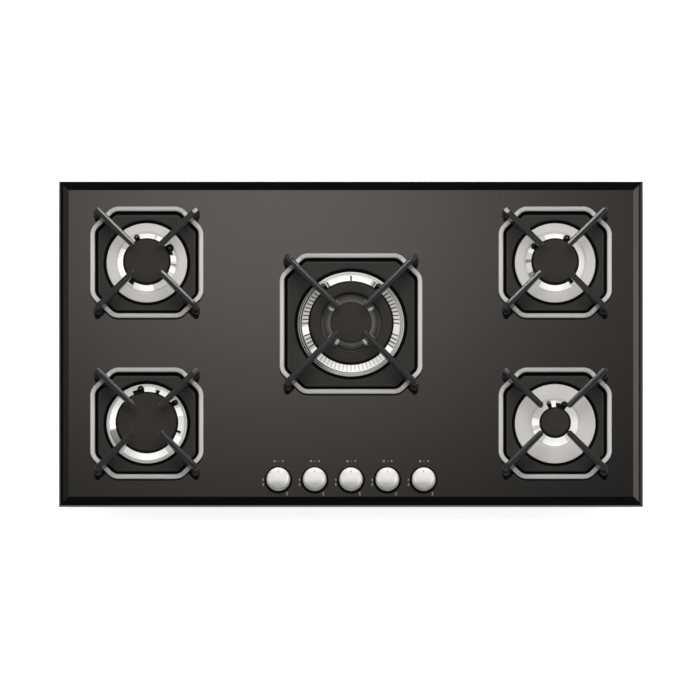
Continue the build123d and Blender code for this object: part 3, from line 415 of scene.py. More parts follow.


# painted shading on the bars: dark towards the underside as painted shade, light on the crest as painted highlight, the
# front and rear bars with a darker crest as painted shade
ramp_on(BAR_PAINTED_SHADING, 2, (BAR_Z + 3.9) * MM, (BAR_Z + BAR_H + 0.1) * MM, (0.50, 0.49, 0.478))
ramp_on(BAR_FRONT_REAR_PAINTED_SHADE, 2, (BAR_Z + 3.6) * MM, (BAR_Z + BAR_H + 0.1) * MM, (0.385, 0.377, 0.368))
KNOB_PAINTED_SHADING = finish_material("knob_satin_metal_painted_shading", (0.66, 0.648, 0.634), 0.38, metal=0.12, vary=0.025, vary_scale=90, rough_vary=0.04,
                       rough_scale=500, bump=0.002, bump_scale=1800, spec=0.35)
# painted shade darkens the knob towards the front, painted highlight lightens it towards the rear
ramp_on(KNOB_PAINTED_SHADING, 1, -0.2155, -0.2300, (0.26, 0.254, 0.247))
ramp_on(KNOB_PAINTED_SHADING, 1, -0.2085, -0.2000, (0.86, 0.85, 0.835))
INK = finish_material("print_grey", (0.19, 0.183, 0.173), 0.5, vary=0.05, vary_scale=200)
MARK = finish_material("mark_dark", (0.22, 0.215, 0.21), 0.5, vary=0.1, vary_scale=300)
SEAL = finish_material("seal_black", (0.0015, 0.0015, 0.0015), 0.6, vary=0.1, vary_scale=200, bump=0.01, bump_scale=1200, spec=0.08)

# dish of the middle burner: painted reflections, dark to the left, satin grey to the right, a painted highlight to the
# rear and grey towards the front
DISH_PAINTED_REFLECTIONS = finish_material("dish_painted_reflections", (0.05, 0.048, 0.045), 0.36, metal=0.45, vary=0.1, vary_scale=60, rough_vary=0.05,
                            rough_scale=300, bump=0.002, bump_scale=900, spec=0.25)
nt = DISH_PAINTED_REFLECTIONS.node_tree
p = next(n for n in nt.nodes if n.type == "BSDF_PRINCIPLED")
tcn = nt.nodes.new("ShaderNodeTexCoord")
sp = nt.nodes.new("ShaderNodeSeparateXYZ")
nt.links.new(tcn.outputs["Object"], sp.inputs[0])
mr = nt.nodes.new("ShaderNodeMapRange")
mr.interpolation_type = "SMOOTHSTEP"
mr.inputs["From Min"].default_value, mr.inputs["From Max"].default_value = -0.055, 0.055
nt.links.new(sp.outputs[0], mr.inputs["Value"])
old = p.inputs["Base Color"].links[0].from_socket
mx = nt.nodes.new("ShaderNodeMix")
mx.data_type = "RGBA"
nt.links.new(mr.outputs[0], mx.inputs[0])
nt.links.new(old, mx.inputs[6])
# lighter to the right: painted reflection
mx.inputs[7].default_value = (0.36, 0.35, 0.34, 1)
# near-white at the rear edge: painted highlight
rear = nt.nodes.new("ShaderNodeMapRange")
rear.interpolation_type = "SMOOTHSTEP"
rear.inputs["From Min"].default_value, rear.inputs["From Max"].default_value = 0.088, 0.100
nt.links.new(sp.outputs[1], rear.inputs["Value"])
mx2 = nt.nodes.new("ShaderNodeMix")
mx2.data_type = "RGBA"
nt.links.new(rear.outputs[0], mx2.inputs[0])
nt.links.new(mx.outputs[2], mx2.inputs[6])
mx2.inputs[7].default_value = (0.84, 0.83, 0.82, 1)
# grey towards the front: painted reflection
front = nt.nodes.new("ShaderNodeMapRange")
front.interpolation_type = "SMOOTHSTEP"
front.inputs["From Min"].default_value, front.inputs["From Max"].default_value = -0.030, -0.048
nt.links.new(sp.outputs[1], front.inputs["Value"])
mx3 = nt.nodes.new("ShaderNodeMix")
mx3.data_type = "RGBA"
nt.links.new(front.outputs[0], mx3.inputs[0])
nt.links.new(mx2.outputs[2], mx3.inputs[6])
mx3.inputs[7].default_value = (0.40, 0.39, 0.38, 1)
nt.links.new(mx3.outputs[2], p.inputs["Base Color"])
RUBBER = finish_material("rubber_black", (0.016, 0.016, 0.016), 0.7, vary=0.15, vary_scale=150, bump=0.02, bump_scale=900)
FOAM = finish_material("foam_black", (0.02, 0.02, 0.02), 0.9, vary=0.3, vary_scale=600, bump=0.15, bump_scale=900)
TRAY = finish_material("tray_enamelled_steel", (0.055, 0.055, 0.058), 0.36, vary=0.08, vary_scale=12, rough_vary=0.06, rough_scale=60,
                       bump=0.02, bump_scale=500, spec=0.5)
ZINC = finish_material("zinc_plated", (0.58, 0.60, 0.62), 0.32, metal=1.0, vary=0.16, vary_scale=160, rough_vary=0.1, rough_scale=200,
                       bump=0.01, bump_scale=600)
CAST = finish_material("cast_aluminium", (0.55, 0.55, 0.56), 0.5, metal=1.0, vary=0.12, vary_scale=120, rough_vary=0.08, rough_scale=300,
                       bump=0.05, bump_scale=700)
BRASS = finish_material("brass", (0.72, 0.53, 0.25), 0.28, metal=1.0, vary=0.10, vary_scale=120, rough_vary=0.08, rough_scale=300,
                        bump=0.01, bump_scale=700)
TUBE = finish_material("tube_aluminium", (0.78, 0.79, 0.80), 0.30, metal=1.0, vary=0.06, vary_scale=80, rough_vary=0.08, rough_scale=300,
                       bump=0.01, bump_scale=500)
SENSOR = finish_material("sensor_heat_tinted", (0.50, 0.44, 0.36), 0.35, metal=1.0, vary=0.2, vary_scale=200, rough_vary=0.1,
                         rough_scale=300, bump=0.01, bump_scale=900)
MODULE = finish_material("module_plastic", (0.72, 0.71, 0.68), 0.5, vary=0.04, vary_scale=80, bump=0.02, bump_scale=900)
GLAND = finish_material("gland_plastic", (0.03, 0.03, 0.03), 0.45, vary=0.1, vary_scale=120, bump=0.02, bump_scale=900)
SCREW = finish_material("screw_zinc", (0.62, 0.63, 0.66), 0.3, metal=1.0, vary=0.1, vary_scale=300, bump=0.01, bump_scale=900)

# spark electrodes: dark glazed ceramic below, bare wire at the tip
CERAMIC = finish_material("glazed_ceramic_and_wire", (0.045, 0.038, 0.032), 0.22, vary=0.15, vary_scale=200, coat=0.4)
nt = CERAMIC.node_tree
p = next(n for n in nt.nodes if n.type == "BSDF_PRINCIPLED")
tcn = nt.nodes.new("ShaderNodeTexCoord")
sp = nt.nodes.new("ShaderNodeSeparateXYZ")
nt.links.new(tcn.outputs["Object"], sp.inputs[0])
tipf = math_node(nt, "GREATER_THAN", sp.outputs[2], 0.0702)
old = p.inputs["Base Color"].links[0].from_socket
mx = nt.nodes.new("ShaderNodeMix")
mx.data_type = "RGBA"
nt.links.new(tipf, mx.inputs[0])
nt.links.new(old, mx.inputs[6])
mx.inputs[7].default_value = (0.07, 0.065, 0.06, 1)
nt.links.new(mx.outputs[2], p.inputs["Base Color"])
nt.links.new(tipf, p.inputs["Metallic"])


# ------------------------------------------------------------------ mesh helpers
def build(name, verts, faces, mats, body, nodes=(), ids=None, angle=28):
    me = bpy.data.meshes.new(name)
    me.from_pydata([(x * MM, y * MM, z * MM) for x, y, z in verts], [], faces)
    for m in mats:
        me.materials.append(m)
    if ids is not None:
        me.polygons.foreach_set("material_index", ids)
    bm = bmesh.new()
    bm.from_mesh(me)
    bmesh.ops.remove_doubles(bm, verts=bm.verts, dist=2e-6)
    bmesh.ops.dissolve_degenerate(bm, edges=bm.edges, dist=1e-7)
    bmesh.ops.recalc_face_normals(bm, faces=bm.faces)
    bm.to_mesh(me)
    bm.free()
    me.shade_smooth()
    me.set_sharp_from_angle(angle=radians(angle))
    ob = bpy.data.objects.new(name, me)
    coll.objects.link(ob)
    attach(ob, body)
    if nodes:
        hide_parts(*nodes)
    return ob


def filleted(points, radii, seg=5, closed=True):
    """Polyline with its corners rounded."""
    res = []
    n = len(points)
    if isinstance(radii, (int, float)):
        radii = [radii] * n
    for i in range(n):
        p = Vector(points[i])
        r = radii[i]
        if r <= 0 or (not closed and i in (0, n - 1)):
            res.append(tuple(p))
            continue
        a, b = Vector(points[i - 1]) - p, Vector(points[(i + 1) % n]) - p
        la, lb = a.length, b.length
        a.normalize()
        b.normalize()
        ang = a.angle(b)
        if ang > pi - 0.02 or ang < 0.02:
            res.append(tuple(p))
            continue
        t = min(r / tan(ang / 2), 0.48 * la, 0.48 * lb)
        r = t * tan(ang / 2)
        c = p + (a + b).normalized() * (r / sin(ang / 2))
        s0, s1 = (p + a * t) - c, (p + b * t) - c
        full = s0.angle(s1)
        for k in range(seg + 1):
            f = k / seg
            w0, w1 = sin((1 - f) * full) / sin(full), sin(f * full) / sin(full)
            res.append(tuple(c + s0 * w0 + s1 * w1))
    return res


def lathe_data(columns, centre, closed):
    """columns: list of (angle, [(r, z), ...]), same point count in each. Points at r = 0 are shared."""
    verts, faces = [], []
    n = len(columns[0][1])
    pole = {}
    grid = []
    for th, prof in columns:
        row = []
        for i, (r, z) in enumerate(prof):
            if r < 1e-6:
                if i not in pole:
                    pole[i] = len(verts)
                    verts.append((centre[0], centre[1], z))
                row.append(pole[i])
            else:
                row.append(len(verts))
                verts.append((centre[0] + r * cos(th), centre[1] + r * sin(th), z))
        grid.append(row)
    m = len(grid)
    for k in range(m):
        a, b = grid[k], grid[(k + 1) % m]
        for i in range(n if closed else n - 1):
            j = (i + 1) % n
            quad = [a[i], b[i], b[j], a[j]]
            face = []
            for q in quad:
                if q not in face:
                    face.append(q)
            if len(face) > 2:
                faces.append(face)
    return verts, faces


def lathe(name, prof, centre, mats, body, nodes=(), n=144, closed=True, angle=28, mat_of=None):
    cols = [(2 * pi * k / n, prof) for k in range(n)]
    verts, faces = lathe_data(cols, centre, closed)
    ids = None
    if mat_of:
        ids = []
        for f in faces:
            cx = sum(verts[i][0] for i in f) / len(f) - centre[0]
            cy = sum(verts[i][1] for i in f) / len(f) - centre[1]
            cz = sum(verts[i][2] for i in f) / len(f)
            ids.append(mat_of(hypot(cx, cy), cz))
    return build(name, verts, faces, mats, body, nodes, ids, angle)


def octagon(a, d):
    k = d * sqrt(2) - a
    return [(a, k), (k, a), (-k, a), (-a, k), (-a, -k), (-k, -a), (k, -a), (a, -k)]


def shift2(pts, c):
    return [(x + c[0], y + c[1]) for x, y in pts]


def loops_to_shell(loops):
    """Verts and side faces joining closed loops of equal length, in order."""
    verts, faces = [], []
    n = len(loops[0])
    for lp in loops:
        verts.extend(lp)
    for k in range(len(loops) - 1):
        for i in range(n):
            j = (i + 1) % n
            faces.append((k * n + i, k * n + j, (k + 1) * n + j, (k + 1) * n + i))
    return verts, faces


# ------------------------------------------------------------------ glass panel
def rect_loop(inset, z, r, seg=4):
    x, y = GLASS_X / 2 - inset, GLASS_Y / 2 - inset
    pts = []
    for cx, cy, a0 in ((x - r, y - r, 0), (-x + r, y - r, 90), (-x + r, -y + r, 180), (x - r, -y + r, 270)):
        for k in range(seg + 1):
            a = radians(a0 + 90 * k / seg)
            pts.append((cx + r * cos(a), cy + r * sin(a), z))
    return pts


glass_levels = [(0.5, 52.0, 1.2), (0.12, 52.15, 1.5), (0.0, 52.5, 1.6)]
glass_levels += [(3.1 * (1 - cos(radians(q))), 53.3 + 3.75 * sin(radians(q)), 1.6 - q * 0.008) for q in (0, 12, 24, 36, 48, 58, 67)]
glass_levels += [(5.3, 58.12, 0.9), (5.9, 58.31, 0.8), (6.6, 58.50, 0.7), (15.0, 60.0, 0.7)]
loops = [rect_loop(i, z, r) for i, z, r in glass_levels]
verts, faces = loops_to_shell(loops)
bm = bmesh.new()
for v in verts:
    bm.verts.new([c * MM for c in v])
bm.verts.ensure_lookup_table()
for f in faces:
    bm.faces.new([bm.verts[i] for i in f])
n = len(loops[0])
holes = [(b["c"], b["rh"], 96) for b in BURNERS.values()] + [((x, KNOB_Y), 12.0, 48) for x in TAPS.values()]
for level, start in ((GT, (len(loops) - 1) * n), (GLASS_Z0, 0)):
    bm.verts.ensure_lookup_table()
    rim = [bm.verts[start + i] for i in range(n)]
    edges = [bm.edges.get((rim[i], rim[(i + 1) % n])) for i in range(n)]
    for (cx, cy), r, seg in holes:
        ring = [bm.verts.new(((cx + r * cos(2 * pi * k / seg)) * MM, (cy + r * sin(2 * pi * k / seg)) * MM, level * MM)) for k in range(seg)]
        edges += [bm.edges.new((ring[k], ring[(k + 1) % seg])) for k in range(seg)]
    bmesh.ops.triangle_fill(bm, edges=edges, use_beauty=True, normal=(0, 0, 1 if level == GT else -1))
# walls of the holes
bm.verts.ensure_lookup_table()
first = len(verts)
count = sum(s for _, _, s in holes)
at = 0
for _, _, seg in holes:
    for k in range(seg):
        a, b = first + at + k, first + at + (k + 1) % seg
        bm.faces.new([bm.verts[a], bm.verts[b], bm.verts[b + count], bm.verts[a + count]])
    at += seg
bmesh.ops.recalc_face_normals(bm, faces=bm.faces)
me = bpy.data.meshes.new("glass_top")
bm.to_mesh(me)
bm.free()
me.materials.append(GLASS)
me.shade_flat()
glass = bpy.data.objects.new("glass_top", me)
coll.objects.link(glass)
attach(glass, BASE)
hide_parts("glass_panel")


# ------------------------------------------------------------------ burners
# painted reflections on the flank of each ring: (from, to) in degrees, 0 painted highlight, 6 plain, 7 painted grey
# reflection, 2 painted black patch (near the cap)
FLANK_PAINTED_REFLECTIONS = {
    "rear_left": {0: [(73, 108), (2, 13), (338, 348), (242, 284), (150, 222), (57, 68)], 7: [(351, 356)],
                  2: [(15, 25), (227, 238)]},
    "rear_right": {0: [(74, 112), (151, 160), (236, 303)], 7: [(174, 182), (203, 213)], 2: [(144, 150), (304, 313)]},
    "front_left": {0: [(49, 67), (76, 96), (136, 190), (230, 306), (316, 337), (11, 27)], 7: [(192, 223)], 2: [(68, 75), (103, 114), (341.4, 345)]},
    "front_right": {0: [(90, 106), (167, 187), (199, 219), (237, 303)], 2: [(54, 87)]},
}


def painted_flank_id(name, deg, i):
    for k in (2, 7, 0):
        for lo, hi in FLANK_PAINTED_REFLECTIONS[name].get(k, ()):
            if lo <= deg <= hi and (k != 2 or i >= 10):
                return k
    return 6


def crown_mesh(name, b):
    """Flame ring: profile turned round the axis, with ports, flank grooves and two notches. Returns verts, faces, ids."""
    rc, rk, rn, n = b["rc"], b["rk"], b["rn"], b["ports"]
    centre = name == "centre"

    # each point: (r, z, group) - group 0 flank, 1 port wall, 2 inside
    def prof(slot, groove):
        pts = [(rn - 3, 50, 2), (rn, 50, 2), (rn, SEAT_Z, 2), (rk - 0.6, SEAT_Z, 0), (rk - 0.15, SEAT_Z + 0.25, 0), (rk, SEAT_Z + 0.7, 0),
               (rk - 0.1, SEAT_Z + 1.2, 0), (rk - 0.6, SEAT_Z + 1.8, 0)]
        r1, z1, r2, z2 = rk - 1.3, SEAT_Z + 2.35, rc + 2.4, 71.3
        for f in (0.0, 0.12, 0.3, 0.5, 0.7, 0.88, 1.0):
            r, z = r1 + (r2 - r1) * f, z1 + (z2 - z1) * f + 0.18 * sin(pi * f)
            if groove and 0.10 <= f <= 0.90:
                r, z = r - 0.75, z - 0.95
            pts.append((r, z, 0))
        pts.append((rc + 1.9, 71.65 if not slot else 71.5, 1))
        pts.append((rc + 0.2, 72.35 if not slot else 71.6, 1))
        pts.append((rc - 0.6, 73.0 if not slot else 71.7, 1))
        top = CROWN_TOP if not slot else 72.3
        pts += [(rc - 0.6, top, 1), (rc - 4.5, top, 1)]
        if centre:
            pts += [(rc - 4.5, 67.5, 2), (50.5, 67.5, 2), (50.5, CROWN_TOP, 2), (46.6, CROWN_TOP, 2), (46.6, 67.5, 2), (42.6, 67.5, 2),
                    (42.4, 69.6, 3), (41.6, 70.6, 3), (38.6, 72.6, 3), (35.4, 74.6, 3), (33.4, 75.6, 3), (32.4, 75.9, 3), (31.2, 76.2, 3),
                    (31.2, INNER_TOP, 3), (27.0, INNER_TOP, 2), (27.0, 70, 2), (rn - 3, 66, 2)]
        else:
            pts += [(rc - 4.5, 70, 2), (rn - 3, 66, 2)]
        return pts

    wide = 1.05 if centre else 0.8
    half_slot = wide / (rc + (2.0 if centre else -0.3))
    eps = 0.0008
    marks = []

    def solid(t):
        d = math.degrees(t) % 360
        return centre and (62 < d < 118 or 181 < d < 193 or 346 < d < 358 or 213 < d < 222 or 318 < d < 327)

    for k in range(n):
        t = 2 * pi * k / n
        marks += [t - half_slot - eps, t - half_slot, t + half_slot, t + half_slot + eps]
        gap = 2 * pi / n - 2 * half_slot
        m = max(1, int(round(gap / radians(2.6))))
        for q in range(1, m):
            marks.append(t + half_slot + gap * q / m)
    notch = []
    for ang, rr in ((b["ig"], b["ni"]), (b["tc"], b["nt"])):
        rp = rk - 3.8
        h = math.asin(rr / rp) * 0.995
        notch.append((radians(ang), h, rp, rr))
        marks += [radians(ang) + h * q / 7 for q in range(-7, 8)] + [radians(ang) - h - eps, radians(ang) + h + eps]

    def slot_at(t):
        k = round(t / (2 * pi / n))
        return abs(t - k * 2 * pi / n) <= half_slot + eps * 0.4, k * 2 * pi / n

    def cut(t, pts):
        for a, h, rp, rr in notch:
            d = (t - a + pi) % (2 * pi) - pi
            if abs(d) <= h + eps * 0.4:
                rmin = rp * cos(d) - sqrt(max(0.0, rr * rr - (rp * sin(d)) ** 2))
                return [(min(r, rmin), z, g) if g < 2 and i > 2 else (r, z, g) for i, (r, z, g) in enumerate(pts)], True
        return pts, False

    angles = sorted(set(round(t % (2 * pi), 6) for t in marks))
    cols, flags = [], []
    for t in angles:
        is_slot, t0 = slot_at(t)
        pts = prof(is_slot, is_slot and centre and not solid(t0))
        if centre and abs((math.degrees(t) - 90 + 180) % 360 - 180) < 0.95:
            pts = prof(True, True)
            is_slot = True
        pts, notched = cut(t, pts)
        cols.append((t, pts))
        flags.append((is_slot, notched))
    cx, cy = b["c"]
    verts, faces, ids = [], [], []
    m = len(cols[0][1])
    for t, pts in cols:
        verts += [(cx + r * cos(t), cy + r * sin(t), z) for r, z, g in pts]
    K = len(cols)
    for k in range(K):
        k2 = (k + 1) % K
        slot = flags[k][0] and flags[k2][0]
        notched = flags[k][1] and flags[k2][1]
        for i in range(m):
            j = (i + 1) % m
            faces.append([k * m + i, k2 * m + i, k2 * m + j, k * m + j])
            g = cols[k][1][i][2]
            g2 = cols[k][1][j][2]
            # port walls, the insides of the outer rings and the notches take the black painted shade; the middle ring's
            # inner cone and insides take its painted groove shade
            if g == 3 or g2 == 3:
                ids.append(1)
            elif g == 2 and g2 == 2:
                ids.append(1 if centre else 2)
            elif g == 1 or g2 == 1:
                ids.append(2)
            elif notched:
                ids.append(2)
            # slots in the middle ring's flank: painted shade in most, painted light in the front ones, black at the top
            elif slot and centre and g == 0 and 8 <= i <= 14 and not solid(cols[k][0]):
                ids.append(4 if 222 < math.degrees(cols[k][0]) < 318 else 3)
            elif slot and centre and 88 < math.degrees(cols[k][0]) < 92 and 8 <= i <= 14:
                ids.append(2)
            else:
                # flank: painted reflections from the table on the outer rings; on the middle ring the painted highlight
                # copy on the solid sectors and at the front, satin grey elsewhere
                deg = math.degrees(cols[k][0])
                plain = (solid(cols[k][0]) and not 340 < deg < 360) or 222 < deg < 318
                if not centre:
                    a2 = math.degrees(cols[k2][0])
                    ids.append(painted_flank_id(name, (deg + a2) / 2 if a2 > deg else deg, i))
                else:
                    ids.append(0 if plain else 5)
    return verts, faces, ids


for name, b in BURNERS.items():
    cx, cy = b["c"]
    rc, rk, rd, rn = b["rc"], b["rk"], b["rd"], b["rn"]
    # dish
    rt = rn + CLEAR + 0.4
    ridge = min(rk + 3.4, rd - 2.2)
    top = 63.7 if rd - rk > 8 else 63.5
    base = [(rt, SEAT_Z - 1), (rk + 0.6, SEAT_Z - 1), (ridge, top - 1), (rd - 0.9, GT + 0.02), (rd, GT + 0.02),
            (rd, GT + 1.5), (rd - 1.0, GT + 2.3), (ridge, top), (rk + 0.9, SEAT_Z), (rt, SEAT_Z)]
    rad = [0.2, 1.0, 1.2, 0.2, 0.2, 0.4, 0.6, 1.4, 0.5, 0.2]
    if name == "centre":
        base = [(rt, SEAT_Z - 1), (rk + 0.4, SEAT_Z - 1), (79.0, 62.4), (80.9, GT + 0.02), (rd, GT + 0.02), (rd, GT + 1.3), (81.1, GT + 1.6),
                (80.5, GT + 1.5), (79.6, 62.3), (78.9, 63.35), (78.1, 63.35), (rk + 0.9, SEAT_Z), (rt, SEAT_Z)]
        rad = [0.2, 0.6, 0.6, 0.2, 0.2, 0.2, 0.2, 0.2, 0.3, 0.3, 0.3, 0.3, 0.2]
        # the rim edges take the lighter satin aluminium: painted highlight lines on the dark dish
        lathe("drip_dish_" + name, filleted(base, rad, 4), (cx, cy), [DISH_PAINTED_REFLECTIONS, CROWN_MID], BASE, ["drip_dishes"], n=160,
              mat_of=lambda r, zz: 1 if (78.2 < r < 79.0 and zz > 63) or r > 81.25 else 0)
    else:
        lathe("drip_dish_" + name, filleted(base, rad, 4), (cx, cy), [DISH], BASE, ["drip_dishes"], n=160)
    # crown
    verts, faces, ids = crown_mesh(name, b)
    build("crown_" + name, verts, faces, [CROWN_PAINTED_HIGHLIGHT, CROWN_PAINTED_GROOVE_SHADE, BLACK_PAINTED_SHADE, GROOVE, GROOVE_PAINTED_LIGHT, CROWN_MID, CROWN_SATIN, CROWN_PAINTED_GREY_REFLECTION], "crown_" + name, ["burner_crown_" + name], ids, 24)
    if name == "centre":
        # bridges under the arms: two ribs each
        allv, allf = [], []
        for ang in (35, 55, 125, 145, 215, 235, 305, 325):
            th = radians(ang)
            u, w = (cos(th), sin(th)), (-sin(th), cos(th))
            sec = filleted([(-2.6, 67.6), (-2.6, 76.0), (2.6, 76.0), (2.6, 67.6)], [0, 2.0, 2.0, 0], 5)
            rows = []
            for r, dz, k in ((32.6, 0.0, 0.55), (33.2, 0.0, 0.85), (34.2, -0.1, 1.0), (37.0, -0.5, 1.0), (40.0, -1.6, 1.0), (42.0, -2.8, 0.92), (43.0, -3.8, 0.7)):
                rows.append([(cx + u[0] * r + w[0] * t * k, cy + u[1] * r + w[1] * t * k, (z + dz) if z > 70 else z) for t, z in sec])
            off = len(allv)
            for row in rows:
                allv += row
            q = len(sec)
            for a in range(len(rows) - 1):
                for i in range(q):
                    j = (i + 1) % q
                    allf.append([off + a * q + i, off + a * q + j, off + (a + 1) * q + j, off + (a + 1) * q + i])
            allf.append([off + i for i in range(q)][::-1])
            allf.append([off + (len(rows) - 1) * q + i for i in range(q)])
        build("crown_bridges_centre", allv, allf, [CROWN_LUG], "crown_centre", ["burner_crown_centre"], None, 50)
    # ceramic sleeves round the electrode and the sensor, in the notches of the ring; their black is painted shade for
    # the dark holes there
    allv, allf = [], []
    for ang, rr in ((b["ig"], b["ni"]), (b["tc"], b["nt"])):
        pc = (cx + (rk - 3.8) * cos(radians(ang)), cy + (rk - 3.8) * sin(radians(ang)))
        ro = min(rr - 0.3, rd - rk + 2.4)
        rb = rr - 0.45
        pr = filleted([(2.9, 58.6), (ro - 0.3, 58.6), (ro - 0.1, SEAT_Z + 0.3), (rb, SEAT_Z + 0.5), (rb - 0.1, 69.8), (rb - 0.9, 70.8),
                       (3.1, 70.8), (2.9, 70.4)], [0.1, 0.1, 0.1, 0.4, 0.8, 0.5, 0.1, 0.1], 3)
        v, f = lathe_data([(2 * pi * q / 40, pr) for q in range(40)], pc, True)
        off = len(allv)
        allv += v
        allf += [[i + off for i in g] for g in f]
    build("electrode_collars_" + name, allv, allf, [BLACK_PAINTED_SHADE], BASE, (), None, 40)
    # caps: the rim of each cap, and on the middle burner's outer cap also its inner edge and lower part, take the black
    # painted shade for the dark line under the cap
    z = CROWN_TOP
    if name == "centre":
        ri = 46.2
        ringp = [(rc - 5.0, z), (rc - 5.0, z - 3), (rc - 7.0, z - 3), (rc - 7.0, z), (ri, z), (ri, z + 2.6)]
        arc = []
        for k in range(13):
            f = k / 12
            r = ri + 0.8 + (rc - 0.6 - ri - 0.8) * f
            arc.append((r, z + 3.4 + 1.5 * sin(pi * f) ** 0.7 - 0.35 * f))
        ringp += arc + [(rc, z + 1.7), (rc, z)]
        rr = [0.2, 0.3, 0.3, 0.2, 0.3, 0.6] + [0.0] * 13 + [0.5, 0.3]
        rr[6] = 0.4
        rr[18] = 0.5
        lathe("cap_centre_outer", filleted(ringp, rr, 3), (cx, cy), [ENAMEL_CAP, BLACK_PAINTED_SHADE], "cap_centre_outer", ["burner_cap_centre_outer"],
              n=160, mat_of=lambda r, zz: 1 if r > rc - 1.2 or r < ri + 0.9 or zz < CROWN_TOP + 1.5 else 0)
        ci, zi = 31.6, INNER_TOP
        pr = [(0, zi), (ci - 7, zi), (ci - 7, zi - 3), (ci - 5, zi - 3), (ci - 5, zi), (ci, zi), (ci, zi + 1.4)]
        for k in range(13):
            f = k / 12
            r = (ci - 0.5) * (1 - f)
            pr.append((r, zi + 2.3 + 2.65 * (1 - (r / ci) ** 2.6)))
        rr = [0, 0.3, 0.3, 0.3, 0.3, 0.3, 0.5, 0.6] + [0.0] * 12
        lathe("cap_centre_inner", filleted(pr, rr, 3, closed=False), (cx, cy), [ENAMEL_CAP, BLACK_PAINTED_SHADE], "cap_centre_inner",
              ["burner_cap_centre_inner"], n=128, closed=False, mat_of=lambda r, zz: 1 if r > ci - 1.2 else 0)
    else:
        pr = [(0, z), (rc - 7, z), (rc - 7, z - 3), (rc - 5, z - 3), (rc - 5, z), (rc, z), (rc, z + 1.5)]
        for k in range(17):
            f = k / 16
            r = (rc - 0.55) * (1 - f)
            pr.append((r, z + 2.5 + 2.85 * (1 - (r / rc) ** 2.6)))
        rr = [0, 0.3, 0.3, 0.3, 0.3, 0.3, 0.6, 0.7] + [0.0] * 16
        lathe("cap_" + name, filleted(pr, rr, 3, closed=False), (cx, cy), [ENAMEL_CAP, BLACK_PAINTED_SHADE], "cap_" + name, ["burner_cap_" + name],
              n=144, closed=False, mat_of=lambda r, zz: 1 if r > rc - 1.3 else 0)
    # spill plate: raised field, with a thin brim outwards and inwards in near-black painted shade, for the dark gaps at
    # the frame and round the dish
    pl = PLATE[kind(name)]
    a, d, bo = pl["a"], pl["d"], pl["brim"]
    levels = [(-bo, -bo + 0.3, GT + 0.02, 12.0), (-bo, -bo + 0.3, GT + 0.55, 12.0), (-bo + 0.3, -bo + 0.6, GT + BRIM_T, 11.6),
              (-1.2, -1.2, GT + BRIM_T, 9.2), (-0.25, -0.25, GT + BRIM_T + 0.1, 8.3), (0.0, 0.0, GT + BRIM_T + 0.45, 8.0),
              (0.1, 0.1, GT + 1.5, 8.0), (0.5, 0.5, GT + 2.0, 7.8), (1.3, 1.3, GT + 2.5, 7.4), (2.1, 2.1, GT + 2.74, 7.0), (3.0, 3.0, GT + PLATE_T, 6.6)]
    outer_loops = []
    for ia, idg, zz, rr_ in levels:
        outer_loops.append([(x + cx, y + cy, zz) for x, y in filleted(octagon(a - ia, d - idg), rr_, 8)])
    m = len(outer_loops[0])
    angs = [math.atan2(q[1] - cy, q[0] - cx) for q in outer_loops[0]]
    hole = pl["hole"]
    inner = [(hole + 2.2, GT + PLATE_T), (hole + 1.4, GT + 2.72), (hole + 0.7, GT + 2.3), (hole + 0.2, GT + 1.6), (hole, GT + BRIM_T + 0.3),
             (hole - 0.3, GT + BRIM_T), (rd + 0.7, GT + BRIM_T), (rd + 0.4, GT + 0.5), (rd + 0.4, GT + 0.02)]
    dense_outer, dense_inner = [[] for _ in outer_loops], [[] for _ in inner]
    for i in range(m):
        j = (i + 1) % m
        span = (angs[j] - angs[i]) % (2 * pi)
        cuts = max(1, int(math.ceil(span / radians(3.0))))
        for q in range(cuts):
            f = q / cuts
            for lp, dl in zip(outer_loops, dense_outer):
                dl.append(tuple(lp[i][c] + (lp[j][c] - lp[i][c]) * f for c in range(3)))
            t = math.atan2(dense_outer[0][-1][1] - cy, dense_outer[0][-1][0] - cx)
            for (rr_, zz), dl in zip(inner, dense_inner):
                dl.append((cx + rr_ * cos(t), cy + rr_ * sin(t), zz))
    shell = dense_outer + dense_inner
    verts, faces = loops_to_shell(shell + [dense_outer[0]])
    cnt = len(dense_outer[0])
    brim_shade_rows = {0, 1, 2, 3, 4, 5, len(levels) + 3, len(levels) + 4, len(levels) + 5, len(levels) + 6, len(levels) + 7, len(levels) + 8}
    # rows of the field's outer rim bevel take the painted highlight copy
    rim_highlight_rows = {7, 8, 9}
    ids = [1 if (k // cnt) in brim_shade_rows else 2 if (k // cnt) in rim_highlight_rows else 0 for k in range(len(faces))]
    build("spill_plate_" + name, verts, faces, [ENAMEL, BRIM_PAINTED_SHADE, ENAMEL_EDGE_PAINTED_HIGHLIGHT], BASE, ["spill_plates"], ids, 40)


